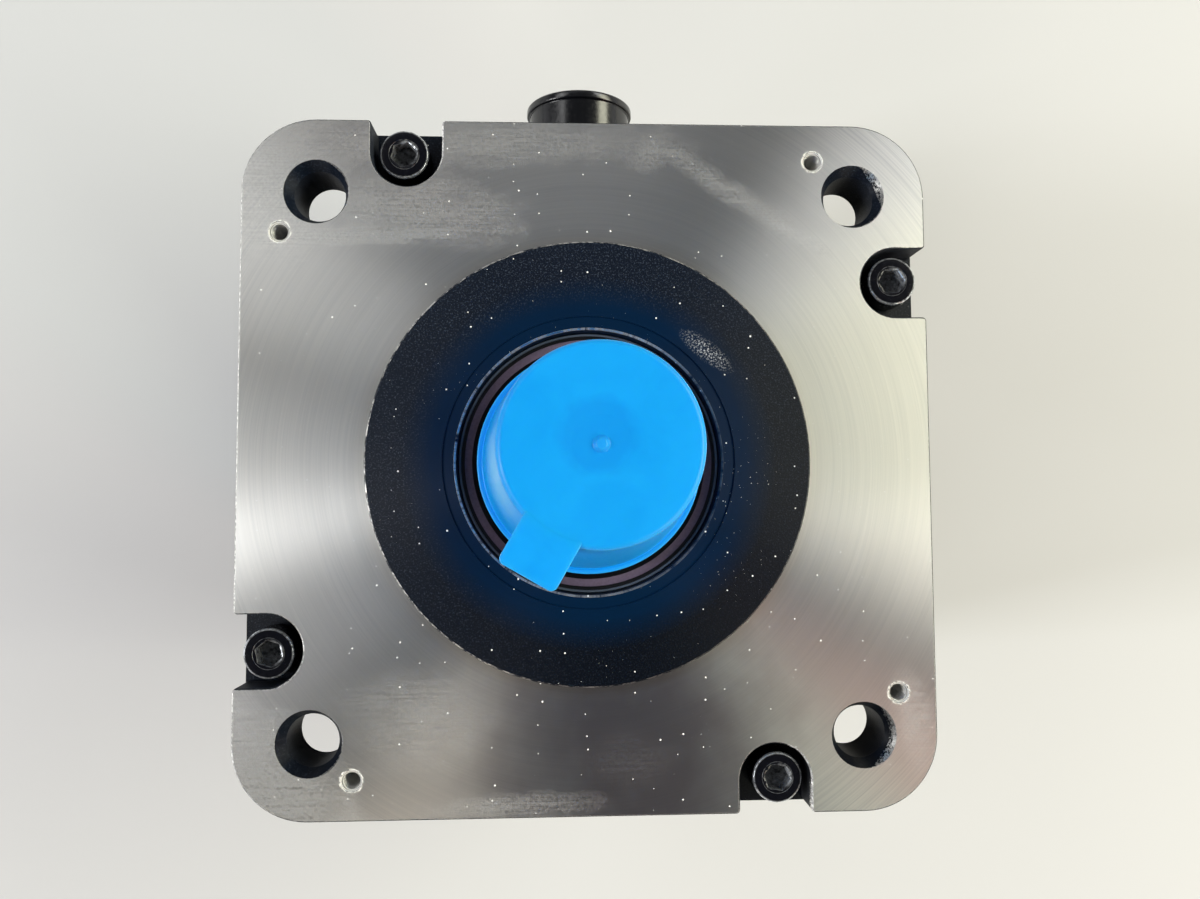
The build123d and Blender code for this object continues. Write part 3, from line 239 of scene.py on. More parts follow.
def turned_face():
    """Cast aluminium, painted black, with its mounting face turned on a lathe.

    The rings of the tool spread light across themselves, so the face shows bright fans that point at the
    centre. Hands and cleaning left dull, mottled places. Paint has chipped from the rims that face left,
    whose bare metal is partly a painted highlight from the lamp on that side; the seal's mouth shows a broken
    bright line, and dust lies on all that looks up.
    """
    material, tree, mm = begin("turned_and_painted_aluminium")
    normal = add(tree, "TexCoord", out="Normal")
    up = add(tree, "SeparateXYZ", {0: normal}, out="Z")
    right = add(tree, "SeparateXYZ", {0: normal}, out="X")
    height = add(tree, "SeparateXYZ", {0: mm}, out="Z")
    across = add(tree, "SeparateXYZ", {0: mm}, out="X")
    flat = add(tree, "VectorMath", {0: mm, 1: (1, 1, 0)}, operation="MULTIPLY")
    radius = add(tree, "VectorMath", {0: flat}, out="Value", operation="LENGTH")
    around = add(tree, "VectorMath", {0: flat}, operation="NORMALIZE")
    high = add(tree, "CombineXYZ", {2: radius})
    facing = add(tree, "Math", {0: up, 1: 0.5}, operation="GREATER_THAN")

    # Metal is bare above the paint's edge, which runs 0.1 mm below the face and deeper at chipped rims. The
    # chips are kept to rims that face left, toward the lamp there, so their bright metal is partly a painted
    # highlight.
    chip = add(tree, "TexNoise", {"Vector": mm, "Scale": 1 / 0.8, "Detail": 4.0, "Roughness": 0.8})
    chip = add(tree, "MapRange", {"Value": chip, "From Min": 0.42, "From Max": 0.56})
    patch = add(tree, "TexNoise", {"Vector": mm, "Scale": 1 / 12.0, "Detail": 1.0})
    patch = add(tree, "MapRange", {"Value": patch, "From Min": 0.36, "From Max": 0.5})
    side = add(tree, "MapRange", {"Value": across, "From Min": -95.0, "From Max": 40.0, "To Min": 0.15})
    lamp_facing_rims = add(tree, "MapRange", {"Value": right, "From Min": -0.2, "From Max": -0.6})
    deep = add(tree, "Math", {0: chip, 1: patch}, operation="MULTIPLY")
    deep = add(tree, "Math", {0: deep, 1: side}, operation="MULTIPLY")
    deep = add(tree, "Math", {0: deep, 1: 2.0, 2: 0.3}, operation="MULTIPLY_ADD")
    deep = add(tree, "Math", {0: deep, 1: lamp_facing_rims}, operation="MULTIPLY")
    paint_edge = add(tree, "Math", {0: -0.1, 1: deep}, operation="SUBTRACT")
    above = add(tree, "Math", {0: height, 1: paint_edge}, operation="GREATER_THAN")
    below = add(tree, "Math", {0: height, 1: 0.05}, operation="LESS_THAN")
    outside = add(tree, "Math", {0: radius, 1: pilot_radius}, operation="GREATER_THAN")
    bare = add(tree, "Math", {0: above, 1: below}, operation="MULTIPLY")
    bare = add(tree, "Math", {0: bare, 1: outside}, operation="MULTIPLY")

    # Slanted edge breaks keep some paint between the chips
    slanted = add(tree, "Math", {0: up, 1: 0.97}, operation="LESS_THAN")
    unworn = add(tree, "MapRange", {"Value": chip, "To Min": 0.7, "To Max": 0.0})
    unworn = add(tree, "Math", {0: slanted, 1: unworn}, operation="MULTIPLY")
    unworn = add(tree, "Math", {0: 1.0, 1: unworn}, operation="SUBTRACT")
    bare = add(tree, "Math", {0: bare, 1: unworn}, operation="MULTIPLY")

    # The tapped holes were drilled after painting, so they are bare to their bottoms and show threads
    drilled = 0.0
    mouth_ring = 0.0
    for x, y in tapped_holes:
        gap = add(tree, "VectorMath", {0: flat, 1: (x, y, 0)}, out="Value", operation="DISTANCE")
        inside = add(tree, "Math", {0: chip, 1: -0.6, 2: gap}, operation="MULTIPLY_ADD")
        inside = add(tree, "Math", {0: inside, 1: burr_radius}, operation="LESS_THAN")
        drilled = add(tree, "Math", {0: drilled, 1: inside}, operation="MAXIMUM")
        bored = add(tree, "Math", {0: gap, 1: bore_radius}, operation="GREATER_THAN")
        burr = add(tree, "Math", {0: inside, 1: bored}, operation="MULTIPLY")
        mouth_ring = add(tree, "Math", {0: mouth_ring, 1: burr}, operation="MAXIMUM")
    bare = add(tree, "Math", {0: bare, 1: drilled}, operation="MAXIMUM")
    thread = add(tree, "Math", {0: height, 1: 2 * math.pi / thread_pitch}, operation="MULTIPLY")
    thread = add(tree, "Math", {0: thread}, operation="SINE")
    thread = add(tree, "Math", {0: thread, 1: drilled}, operation="MULTIPLY")

    # The seal's mouth lost its paint to the tool in broken arcs, mostly on the upper left
    arcs = add(tree, "TexNoise", {"Vector": around, "Scale": 9.0, "Detail": 6.0, "Roughness": 0.75})
    arcs = add(tree, "MapRange", {"Value": arcs, "From Min": 0.38, "From Max": 0.54})
    sweep = add(tree, "VectorMath", {0: around, 1: (-0.8, 0.35, 0)}, out="Value", operation="DOT_PRODUCT")
    sweep = add(tree, "MapRange", {"Value": sweep, "From Min": -0.7, "From Max": 0.3, "To Min": 0.12})
    line = add(tree, "MapRange", {"Value": radius, "From Min": mouth_radii[0],
                                  "From Max": mouth_radii[0] + 0.1})
    line = add(tree, "Math", {0: line, 1: arcs}, operation="MULTIPLY")
    mouth = add(tree, "Math", {0: radius, 1: mouth_radii[1]}, operation="LESS_THAN")
    line = add(tree, "Math", {0: line, 1: mouth}, operation="MULTIPLY")
    line = add(tree, "Math", {0: line, 1: sweep}, operation="MULTIPLY")
    line = add(tree, "Math", {0: line, 1: facing}, operation="MULTIPLY")
    bare = add(tree, "Math", {0: bare, 1: line}, operation="MAXIMUM")

    # The turned pilot's corner shows a fine bright edge, worn through in places
    corner = add(tree, "TexNoise", {"Vector": mm, "Scale": 1 / 2.2, "Detail": 5.0, "Roughness": 0.8})
    corner = add(tree, "MapRange", {"Value": corner, "From Min": 0.46, "From Max": 0.58})
    corner_ring = add(tree, "Math", {0: radius, 1: corner_radius}, operation="GREATER_THAN")
    corner = add(tree, "Math", {0: corner, 1: corner_ring}, operation="MULTIPLY")
    raised = add(tree, "Math", {0: height, 1: raised_height}, operation="GREATER_THAN")
    corner = add(tree, "Math", {0: corner, 1: raised}, operation="MULTIPLY")
    corner = add(tree, "Math", {0: corner, 1: sweep}, operation="MULTIPLY")
    corner = add(tree, "Math", {0: corner, 1: 0.7}, operation="MULTIPLY")
    bare = add(tree, "Math", {0: bare, 1: corner}, operation="MAXIMUM")

    # Turning marks: arcs 0.4 mm wide and some tens long, drawn coarser than the real 0.15 mm
    ring_place = add(tree, "VectorMath", {0: around, 1: (1.6, 1.6, 1.6)}, operation="MULTIPLY")
    ring_step = add(tree, "VectorMath", {0: high, 1: (0, 0, 1 / 0.4)}, operation="MULTIPLY")
    ring_place = add(tree, "VectorMath", {0: ring_place, 1: ring_step}, operation="ADD")
    rings = add(tree, "TexNoise", {"Vector": ring_place, "Scale": 1.0, "Detail": 2.0, "Roughness": 0.6})
    rings = add(tree, "MapRange", {"Value": rings, "From Min": 0.3, "From Max": 0.7})
    band_step = add(tree, "VectorMath", {0: high, 1: (0, 0, 1 / 5.0)}, operation="MULTIPLY")
    bands = add(tree, "VectorMath", {0: around, 1: band_step}, operation="ADD")
    bands = add(tree, "TexNoise", {"Vector": bands, "Scale": 1.0, "Detail": 3.0, "Roughness": 0.55})

    # Handled places: ovals with ragged edges, filled with a mottled grain of 0.9 mm and strokes along X
    mottle = add(tree, "TexNoise", {"Vector": mm, "Scale": 1 / 0.9, "Detail": 3.0, "Roughness": 0.6})
    mottle = add(tree, "MapRange", {"Value": mottle, "From Min": 0.38, "From Max": 0.62, "To Min": 0.1,
                                    "To Max": 1.4})
    strokes = add(tree, "VectorMath", {0: mm, 1: (1 / 16.0, 1 / 0.5, 1)}, operation="MULTIPLY")
    strokes = add(tree, "TexNoise", {"Vector": strokes, "Scale": 1.0, "Detail": 2.0, "Roughness": 0.6})
    strokes = add(tree, "MapRange", {"Value": strokes, "From Min": 0.38, "From Max": 0.62, "To Max": 1.3})
    mottle = add(tree, "Mix", {0: 0.45, 2: mottle, 3: strokes}, data_type="FLOAT")
    ragged = add(tree, "TexNoise", {"Vector": mm, "Scale": 1 / 9.0, "Detail": 5.0, "Roughness": 0.65})
    haze = 0.0
    for x, y, half_length, half_width, turn, strength in handled_places:
        oval = add(tree, "VectorMath", {0: flat, 1: (x, y, 0)}, operation="SUBTRACT")
        oval = add(tree, "VectorRotate", {"Vector": oval, "Angle": math.radians(-turn)},
                   rotation_type="Z_AXIS")
        oval = add(tree, "VectorMath", {0: oval, 1: (1 / half_length, 1 / half_width, 0)},
                   operation="MULTIPLY")
        oval = add(tree, "VectorMath", {0: oval}, out="Value", operation="LENGTH")
        oval = add(tree, "Math", {0: ragged, 1: -1.5, 2: oval}, operation="MULTIPLY_ADD")
        oval = add(tree, "MapRange", {"Value": oval, "From Min": 0.5, "From Max": -0.5, "To Max": strength})
        haze = add(tree, "Math", {0: haze, 1: oval}, operation="MAXIMUM")
    haze = add(tree, "Math", {0: haze, 1: mottle}, operation="MULTIPLY")

    # Painted highlight: a speckled pale strip two millimetres wide along the left edge, standing in for the
    # light that the lamp on the left throws on that edge
    painted_left_edge_highlight = add(tree, "TexNoise", {"Vector": mm, "Scale": 1 / 1.3, "Detail": 5.0, "Roughness": 0.75})
    painted_left_edge_highlight = add(tree, "Math", {0: painted_left_edge_highlight, 1: 6.0, 2: across}, operation="MULTIPLY_ADD")
    painted_left_edge_highlight = add(tree, "MapRange", {"Value": painted_left_edge_highlight, "From Min": -86.7, "From Max": -87.4, "To Max": 0.85})
    # Pale marks: the real burrs round the tapped holes, and the painted highlight along the left edge
    pale = add(tree, "Math", {0: painted_left_edge_highlight, 1: mouth_ring}, operation="MAXIMUM")

    # Painted reflection: a faint brown darkening at the lower right of the centre, standing in for the dark
    # surroundings that the face reflects there
    painted_dark_reflection = add(tree, "VectorMath", {0: flat, 1: (12, -72, 0)}, out="Value", operation="DISTANCE")
    dark_reflection_blot = add(tree, "TexNoise", {"Vector": mm, "Scale": 1 / 14.0, "Detail": 3.0})
    painted_dark_reflection = add(tree, "Math", {0: dark_reflection_blot, 1: 34.0, 2: painted_dark_reflection}, operation="MULTIPLY_ADD")
    painted_dark_reflection = add(tree, "MapRange", {"Value": painted_dark_reflection, "From Min": 62.0, "From Max": 30.0, "To Max": 0.6})
    outer_rings = add(tree, "MapRange", {"Value": radius, "From Min": 92.0, "From Max": 112.0,
                                         "To Max": 0.6})
    dim = add(tree, "Mix", {0: outer_rings, 6: linear("f0f0ed"), 7: linear("d4d5d6")}, **RGBA)
    metal = add(tree, "Mix", {0: rings, 6: dim, 7: linear("fbfaf6")}, **RGBA)
    tone = add(tree, "MapRange", {"Value": bands, "From Min": 0.3, "From Max": 0.7, "To Max": 0.5})
    metal = add(tree, "Mix", {0: tone, 6: metal, 7: linear("f8f7f3")}, **RGBA)
    # The painted dark reflection goes into the metal's colour here
    metal = add(tree, "Mix", {0: painted_dark_reflection, 6: metal, 7: linear("988287")}, **RGBA)
    metal = add(tree, "Mix", {0: haze, 6: metal, 7: linear("b4b5b6")}, **RGBA)
    metal = add(tree, "Mix", {0: pale, 6: metal, 7: linear("fafaf6")}, **RGBA)

    # Paint: fine grain 0.45 mm across on the pilot's outer band, smoother towards the seal, where its blue is
    # a painted reflection of the blue shaft cap. The outer band is paler to the upper left, as painted light
    # from the lamps on that side, and the peaks of its grain carry painted glints.
    grain = add(tree, "TexNoise", {"Vector": mm, "Scale": 1 / 0.45, "Detail": 2.0, "Roughness": 0.7})
    outer = add(tree, "MapRange", {"Value": radius, "From Min": 40.0, "From Max": 48.0})
    painted_glints = add(tree, "MapRange", {"Value": grain, "From Min": 0.54, "From Max": 0.7})
    painted_upper_left_light = add(tree, "VectorMath", {0: around, 1: (-0.55, 0.8, 0)}, out="Value", operation="DOT_PRODUCT")
    painted_upper_left_light = add(tree, "MapRange", {"Value": painted_upper_left_light, "From Min": -1.0, "From Max": 0.6, "To Min": 0.15})
    painted_glints = add(tree, "Math", {0: painted_glints, 1: outer}, operation="MULTIPLY")
    painted_glints = add(tree, "Math", {0: painted_glints, 1: painted_upper_left_light}, operation="MULTIPLY")
    outer_tone_with_painted_light = add(tree, "Mix", {0: painted_upper_left_light, 6: linear("02040a"), 7: linear("0d1420")}, **RGBA)
    # The paint's colour holds the painted reflection, painted light and painted glints as well as its own
    # black
    paint = add(tree, "Mix", {0: outer, 6: linear("021c36"), 7: outer_tone_with_painted_light}, **RGBA)
    paint = add(tree, "Mix", {0: painted_glints, 6: paint, 7: linear("3c4450")}, **RGBA)

    # A rubbed place on the pilot, 14 mm long, speckled grey
    rub = add(tree, "VectorMath", {0: flat, 1: (30.4, 28.6, 0)}, operation="SUBTRACT")
    rub = add(tree, "VectorRotate", {"Vector": rub, "Angle": math.radians(38)}, rotation_type="Z_AXIS")
    rub = add(tree, "VectorMath", {0: rub, 1: (1 / 7.0, 1 / 2.2, 0)}, operation="MULTIPLY")
    rub = add(tree, "VectorMath", {0: rub}, out="Value", operation="LENGTH")
    rub = add(tree, "MapRange", {"Value": rub, "From Min": 1.3, "From Max": 0.0, "To Max": 0.85})
    spots = add(tree, "MapRange", {"Value": grain, "From Min": 0.52, "From Max": 0.64})
    rub = add(tree, "Math", {0: rub, 1: spots}, operation="MULTIPLY")
    rub = add(tree, "Math", {0: rub, 1: raised}, operation="MULTIPLY")

    # Dust: white specks up to 0.5 mm across, one in about half of the cells, with finer ones in drifts
    cells = add(tree, "TexVoronoi", {"Vector": mm, "Scale": 1 / 6.0},
                out="Distance", voronoi_dimensions="2D")
    chance = add(tree, "SeparateXYZ", {0: cells.node.outputs["Color"]}, out="X")
    size = add(tree, "MapRange", {"Value": chance, "From Min": 0.45, "From Max": 1.0, "To Max": 0.042})
    speck = add(tree, "Math", {0: cells, 1: size}, operation="LESS_THAN")
    fine = add(tree, "TexVoronoi", {"Vector": mm, "Scale": 1 / 2.2},
               out="Distance", voronoi_dimensions="2D")
    drift = add(tree, "TexNoise", {"Vector": mm, "Scale": 1 / 26.0, "Detail": 2.0})
    drift = add(tree, "MapRange", {"Value": drift, "From Min": 0.52, "From Max": 0.76, "To Max": 0.055})
    mixed = add(tree, "SeparateXYZ", {0: fine.node.outputs["Color"]}, out="X")
    drift = add(tree, "Math", {0: drift, 1: mixed}, operation="MULTIPLY")
    fine = add(tree, "Math", {0: fine, 1: drift}, operation="LESS_THAN")
    dust = add(tree, "Math", {0: speck, 1: fine}, operation="MAXIMUM")
    dust = add(tree, "Math", {0: dust, 1: rub}, operation="MAXIMUM")
    dust = add(tree, "Math", {0: dust, 1: facing}, operation="MULTIPLY")

    colour = add(tree, "Mix", {0: bare, 6: paint, 7: metal}, **RGBA)
    colour = add(tree, "Mix", {0: dust, 6: colour, 7: linear("fcfcfa")}, **RGBA)
    clean = add(tree, "Math", {0: 1.0, 1: dust}, operation="SUBTRACT")
    shine = add(tree, "Math", {0: haze, 1: -0.42, 2: 1.0}, operation="MULTIPLY_ADD")
    shine = add(tree, "Math", {0: pale, 1: -0.55, 2: shine}, operation="MULTIPLY_ADD")
    shine = add(tree, "Math", {0: drilled, 1: -0.3, 2: shine}, operation="MULTIPLY_ADD")
    shine = add(tree, "Math", {0: shine, 1: bare}, operation="MULTIPLY")
    metallic = add(tree, "Math", {0: shine, 1: clean}, operation="MULTIPLY")
    polish = add(tree, "MapRange", {"Value": rings, "To Min": 0.322, "To Max": 0.341})
    polish = add(tree, "Math", {0: haze, 1: 0.14, 2: polish}, operation="MULTIPLY_ADD")
    polish = add(tree, "Math", {0: pale, 1: 0.25, 2: polish}, operation="MULTIPLY_ADD")
    matt = add(tree, "MapRange", {"Value": outer, "To Min": 0.34, "To Max": 0.46})
    rough = add(tree, "Mix", {0: bare, 2: matt, 3: polish}, data_type="FLOAT")
    lift = add(tree, "Math", {0: thread, 1: 6.0, 2: grain}, operation="MULTIPLY_ADD")
    painted = add(tree, "Math", {0: 1.0, 1: bare}, operation="SUBTRACT")
    bump_share = add(tree, "Math", {0: painted, 1: outer}, operation="MULTIPLY")
    bump_share = add(tree, "Math", {0: bump_share, 1: drilled}, operation="MAXIMUM")
    bump = add(tree, "Bump", {"Strength": bump_share, "Distance": 0.08 * MM, "Height": lift})
    tangent = add(tree, "Tangent", direction_type="RADIAL", axis="Z")
    return end(material, tree, {
        "Base Color": colour, "Metallic": metallic, "Roughness": rough, "Normal": bump, "Anisotropic": 0.8,
        "Anisotropic Rotation": 0.25, "Tangent": tangent, "Specular IOR Level": 0.25,
    })


def plain_metal(name, light, dark, rough, size_mm, stretch=(1, 1, 1), metallic=1.0, bump_mm=0.01):
    """Steel, brass, copper or aluminium: two tones in a grain of this size, rougher where it is darker.

    stretch shortens the grain along an axis, so a turned bar shows rings and a lamination stack its sheets.
    """
    material, tree, mm = begin(name)
    place = add(tree, "VectorMath", {0: mm, 1: stretch}, operation="MULTIPLY")
    grain = add(tree, "TexNoise", {"Vector": place, "Scale": 1 / size_mm, "Detail": 4.0, "Roughness": 0.6})
    share = add(tree, "MapRange", {"Value": grain, "From Min": 0.35, "From Max": 0.65})
    colour = add(tree, "Mix", {0: share, 6: linear(dark), 7: linear(light)}, **RGBA)
    roughness = add(tree, "MapRange", {"Value": grain, "From Min": 0.3, "From Max": 0.7,
                                       "To Min": rough + 0.08, "To Max": rough - 0.05})
    bump = add(tree, "Bump", {"Strength": 0.5, "Distance": bump_mm * MM, "Height": grain})
    return end(material, tree, {"Base Color": colour, "Metallic": metallic, "Roughness": roughness,
                                "Normal": bump})


def plain_dull(name, light, dark, rough, size_mm, bump_mm=0.02, specular=0.5):
    """Plastic, rubber, paint, glass fibre or board: two near tones and a fine skin of this size."""
    material, tree, mm = begin(name)
    wide = add(tree, "TexNoise", {"Vector": mm, "Scale": 1 / (size_mm * 14), "Detail": 3.0})
    share = add(tree, "MapRange", {"Value": wide, "From Min": 0.38, "From Max": 0.62})
    colour = add(tree, "Mix", {0: share, 6: linear(dark), 7: linear(light)}, **RGBA)
    skin = add(tree, "TexNoise", {"Vector": mm, "Scale": 1 / size_mm, "Detail": 2.0, "Roughness": 0.6})
    roughness = add(tree, "MapRange", {"Value": skin, "From Min": 0.3, "From Max": 0.7,
                                       "To Min": rough - 0.05, "To Max": rough + 0.07})
    bump = add(tree, "Bump", {"Strength": 0.6, "Distance": bump_mm * MM, "Height": skin})
    return end(material, tree, {"Base Color": colour, "Roughness": roughness, "Normal": bump,
                                "Specular IOR Level": specular})


def black_oxide():
    """Hardened steel, blackened in hot salts and oiled: nearly black, rubbed bright along its edges."""
    material, tree, mm = begin("black_oxide_steel")
    # The wear attribute also carries a painted highlight on one side of each socket
    wear = add(tree, "Attribute", out="Fac", attribute_name="wear")
    grain = add(tree, "TexNoise", {"Vector": mm, "Scale": 1 / 1.1, "Detail": 3.0, "Roughness": 0.6})
    rub = add(tree, "MapRange", {"Value": grain, "From Min": 0.36, "From Max": 0.56, "To Min": 0.15})
    rub = add(tree, "Math", {0: rub, 1: wear}, operation="MULTIPLY")
    black = add(tree, "Mix", {0: grain, 6: linear("04050b"), 7: linear("090a13")}, **RGBA)
    colour = add(tree, "Mix", {0: rub, 6: black, 7: linear("dfe4ea")}, **RGBA)
    rough = add(tree, "MapRange", {"Value": grain, "From Min": 0.3, "From Max": 0.7, "To Min": 0.2,
                                   "To Max": 0.28})
    rough = add(tree, "Math", {0: rub, 1: 0.04, 2: rough}, operation="MULTIPLY_ADD")
    return end(material, tree, {"Base Color": colour, "Metallic": rub, "Roughness": rough,
                                "Specular IOR Level": 0.35})


# Above this height, in millimetres, lies the closed end
closed_end_height = 69.0


def blue_polyethylene():
    """Soft blue polyethylene, injection moulded and waxy, with faint flow.

    It is darker in a ragged patch round the middle of its closed end, and paler at its edges; a painted
    highlight runs down its left side.
    """
    material, tree, mm = begin("blue_moulded_polyethylene")
    flow = add(tree, "TexNoise", {"Vector": mm, "Scale": 1 / 13.0, "Detail": 3.0, "Distortion": 0.8})
    share = add(tree, "MapRange", {"Value": flow, "From Min": 0.35, "From Max": 0.65})
    colour = add(tree, "Mix", {0: share, 6: linear("0d9bef"), 7: linear("12a1f4")}, **RGBA)

    # A darker, ragged patch round the middle of the closed end
    flat = add(tree, "VectorMath", {0: mm, 1: (1, 1, 0)}, operation="MULTIPLY")
    radius = add(tree, "VectorMath", {0: flat, 1: (-0.8, 1.6, 0)}, out="Value", operation="DISTANCE")
    ragged_middle = add(tree, "TexNoise", {"Vector": mm, "Scale": 1 / 4.0, "Detail": 3.0})
    ragged_middle = add(tree, "Math", {0: ragged_middle, 1: 3.0, 2: radius}, operation="MULTIPLY_ADD")
    darker_middle_patch = add(tree, "MapRange", {"Value": ragged_middle, "From Min": 9.6, "From Max": 7.2, "To Max": 0.6})
    height = add(tree, "SeparateXYZ", {0: mm}, out="Z")
    closed = add(tree, "Math", {0: height, 1: closed_end_height}, operation="GREATER_THAN")
    darker_middle_patch = add(tree, "Math", {0: darker_middle_patch, 1: closed}, operation="MULTIPLY")

    # The wall is a purer blue, with a pale painted highlight down its left
    side = add(tree, "VectorMath", {0: flat}, operation="NORMALIZE")
    side = add(tree, "VectorMath", {0: side, 1: (-0.96, -0.26, 0)}, out="Value", operation="DOT_PRODUCT")
    painted_highlight_streak = add(tree, "MapRange", {"Value": side, "From Min": 0.86, "From Max": 1.0, "To Max": 0.5})
    low = add(tree, "MapRange", {"Value": height, "From Min": 20.0, "From Max": 55.0})
    painted_highlight_streak = add(tree, "Math", {0: painted_highlight_streak, 1: low}, operation="MULTIPLY")
    wall_colour_with_highlight = add(tree, "Mix", {0: painted_highlight_streak, 6: linear("0498f8"), 7: linear("9cdcfc")}, **RGBA)
    colour = add(tree, "Mix", {0: closed, 6: wall_colour_with_highlight, 7: colour}, **RGBA)
    colour = add(tree, "Mix", {0: darker_middle_patch, 6: colour, 7: linear("0c8ce4")}, **RGBA)

    # Edges are paler
    thin = add(tree, "Attribute", out="Fac", attribute_name="wear")
    colour = add(tree, "Mix", {0: thin, 6: colour, 7: linear("3cb2fc")}, **RGBA)
    skin = add(tree, "TexNoise", {"Vector": mm, "Scale": 1 / 0.7, "Detail": 2.0})
    rough = add(tree, "MapRange", {"Value": skin, "From Min": 0.3, "From Max": 0.7, "To Min": 0.3,
                                   "To Max": 0.4})
    bump = add(tree, "Bump", {"Strength": 0.4, "Distance": 0.02 * MM, "Height": skin})
    return end(material, tree, {"Base Color": colour, "Roughness": rough, "Normal": bump,
                                "Subsurface Weight": 0.3, "Subsurface Radius": (0.3, 0.8, 1.8),
                                "Subsurface Scale": 0.0015, "Specular IOR Level": 0.25})


# Radii of the brown band and the bloom, and the height that the bloom stays above, in millimetres
brown_radii = (30.25, 32.15)
bloom_radii = (33.05, 33.9)
bloom_height = -2.2


def seal_rubber():
    """Nitrile rubber: black, with a brown band on its raised face and a grey bloom on its outer rim."""
    material, tree, mm = begin("nitrile_rubber")
    flat = add(tree, "VectorMath", {0: mm, 1: (1, 1, 0)}, operation="MULTIPLY")
    radius = add(tree, "VectorMath", {0: flat}, out="Value", operation="LENGTH")
    inner = add(tree, "Math", {0: radius, 1: brown_radii[0]}, operation="GREATER_THAN")
    outer = add(tree, "Math", {0: radius, 1: brown_radii[1]}, operation="LESS_THAN")
    band = add(tree, "Math", {0: inner, 1: outer}, operation="MULTIPLY")
    skin = add(tree, "TexNoise", {"Vector": mm, "Scale": 1 / 0.6, "Detail": 3.0})
    bloom = add(tree, "MapRange", {"Value": radius, "From Min": bloom_radii[0],
                                   "From Max": bloom_radii[0] + 0.2})
    bloom_end = add(tree, "MapRange", {"Value": radius, "From Min": bloom_radii[1],
                                       "From Max": bloom_radii[1] - 0.3})
    bloom = add(tree, "Math", {0: bloom, 1: bloom_end}, operation="MULTIPLY")
    height = add(tree, "SeparateXYZ", {0: mm}, out="Z")
    near = add(tree, "Math", {0: height, 1: bloom_height}, operation="GREATER_THAN")
    bloom = add(tree, "Math", {0: bloom, 1: near}, operation="MULTIPLY")
    brown = add(tree, "Mix", {0: skin, 6: linear("584c5c"), 7: linear("766880")}, **RGBA)
    black = add(tree, "Mix", {0: skin, 6: linear("090a0e"), 7: linear("15161b")}, **RGBA)
    colour = add(tree, "Mix", {0: band, 6: black, 7: brown}, **RGBA)
    colour = add(tree, "Mix", {0: bloom, 6: colour, 7: linear("5c6878")}, **RGBA)
    bump = add(tree, "Bump", {"Strength": 0.4, "Distance": 0.02 * MM, "Height": skin})
    return end(material, tree, {"Base Color": colour, "Roughness": 0.42, "Normal": bump})


finishes = {
    # Bright fans on the turned face, black painted pilot and sides
    "machined_cast_aluminium": turned_face(),
    # Satin black with a fine orange peel
    "black_painted_aluminium": plain_dull("black_powder_coat", "16171a", "101114", 0.46, 0.7, 0.03, 0.4),
    # Near black with bright rubbed edges
    "black_oxide_steel": black_oxide(),
    # A purple-brown ring between black lips
    "seal_rubber": seal_rubber(),
    # Bright, with fine rings from grinding
    "bearing_steel": plain_metal("ground_bearing_steel", "c6c8ca", "b2b4b6", 0.18, 0.5, (1, 1, 6)),
    # Cream and matt, faintly cloudy
    "nylon": plain_dull("glass_filled_nylon", "d8d2bc", "cbc4ac", 0.5, 0.5),
    # Silver with a blue tinge and soft blotches
    "zinc_steel": plain_metal("zinc_plated_steel", "c3c8cc", "a6abb2", 0.3, 1.4),
    # Dark grey sheets, seen as fine lines across the stack
    "electrical_steel": plain_metal("stacked_electrical_steel", "6e7278", "4c5056", 0.42, 0.5,
                                    (0.1, 0.1, 2)),
    # Off-white and half matt
    "bobbin_plastic": plain_dull("moulded_bobbin_plastic", "e4e0d4", "d8d4c6", 0.45, 0.5),
    # Red-brown under lacquer, its turns as fine ridges
    "enamelled_copper": plain_metal("enamelled_copper_wire", "c46a34", "8a4420", 0.3, 0.8, (1, 1, 3),
                                    0.85, 0.2),
    # Light grey with fine rings from grinding
    "ground_steel": plain_metal("ground_steel", "bcbec0", "a6a8ab", 0.24, 0.6, (0.2, 0.2, 5)),
    # Warm silver, softly mottled
    "nickel_plated_magnet": plain_metal("nickel_plated_magnet", "c8c4b8", "b0aca0", 0.28, 1.0),
    # Straw yellow and half matt
    "glass_fibre_band": plain_dull("wound_glass_fibre", "c9c4a0", "b5b08c", 0.4, 0.4),
    # Pale grey with rings from turning
    "turned_aluminium": plain_metal("turned_aluminium", "cfcfcb", "bcbcb8", 0.3, 0.5, (0.2, 0.2, 4)),
    # Blue-grey and glossy
    "spring_steel": plain_metal("blued_spring_steel", "8c8f96", "6c7078", 0.26, 0.8),
    # Pale, cool and very glossy
    "encoder_glass": plain_dull("chromed_encoder_glass", "aab4b8", "98a2a6", 0.12, 0.5),
    # Yellow with a soft sheen
    "brass": plain_metal("free_cutting_brass", "cfae62", "b8974c", 0.26, 0.6),
    # Deep gloss black with soft highlights
    "black_moulded_plastic": plain_dull("black_moulded_polyamide", "101116", "0b0c10", 0.2, 1.2, 0.004, 0.6),
    # Green and half glossy
    "circuit_board": plain_dull("solder_masked_board", "1c5a36", "164a2c", 0.34, 0.5),
    # Flat dark grey
    "gasket_rubber": plain_dull("gasket_rubber", "2a2c30", "202226", 0.7, 0.4),
    # Dark grey metal with a dull sheen
    "zinc_black_shell": plain_metal("black_zinc_shell", "4a4c50", "34363a", 0.34, 0.7, (1, 1, 1), 0.8),
    # Slate grey and dull
    "insert_rubber": plain_dull("insert_rubber", "3c4650", "323c46", 0.55, 0.4),
    # Warm gold, bright
    "gold_plated_brass": plain_metal("gold_plated_brass", "e0bc60", "cda648", 0.2, 0.6),
    # Red and half matt
    "lead_insulation": plain_dull("lead_insulation", "a83430", "942c28", 0.4, 0.4),
    # Waxy bright blue
    "blue_moulded_plastic": blue_polyethylene(),
}
for part in frame["record"]["subparts"]:
    slots = frame["nodes"][part["node"]].data.materials
    slots.clear()
    slots.append(finishes[part["material_slot"]])


# Screws

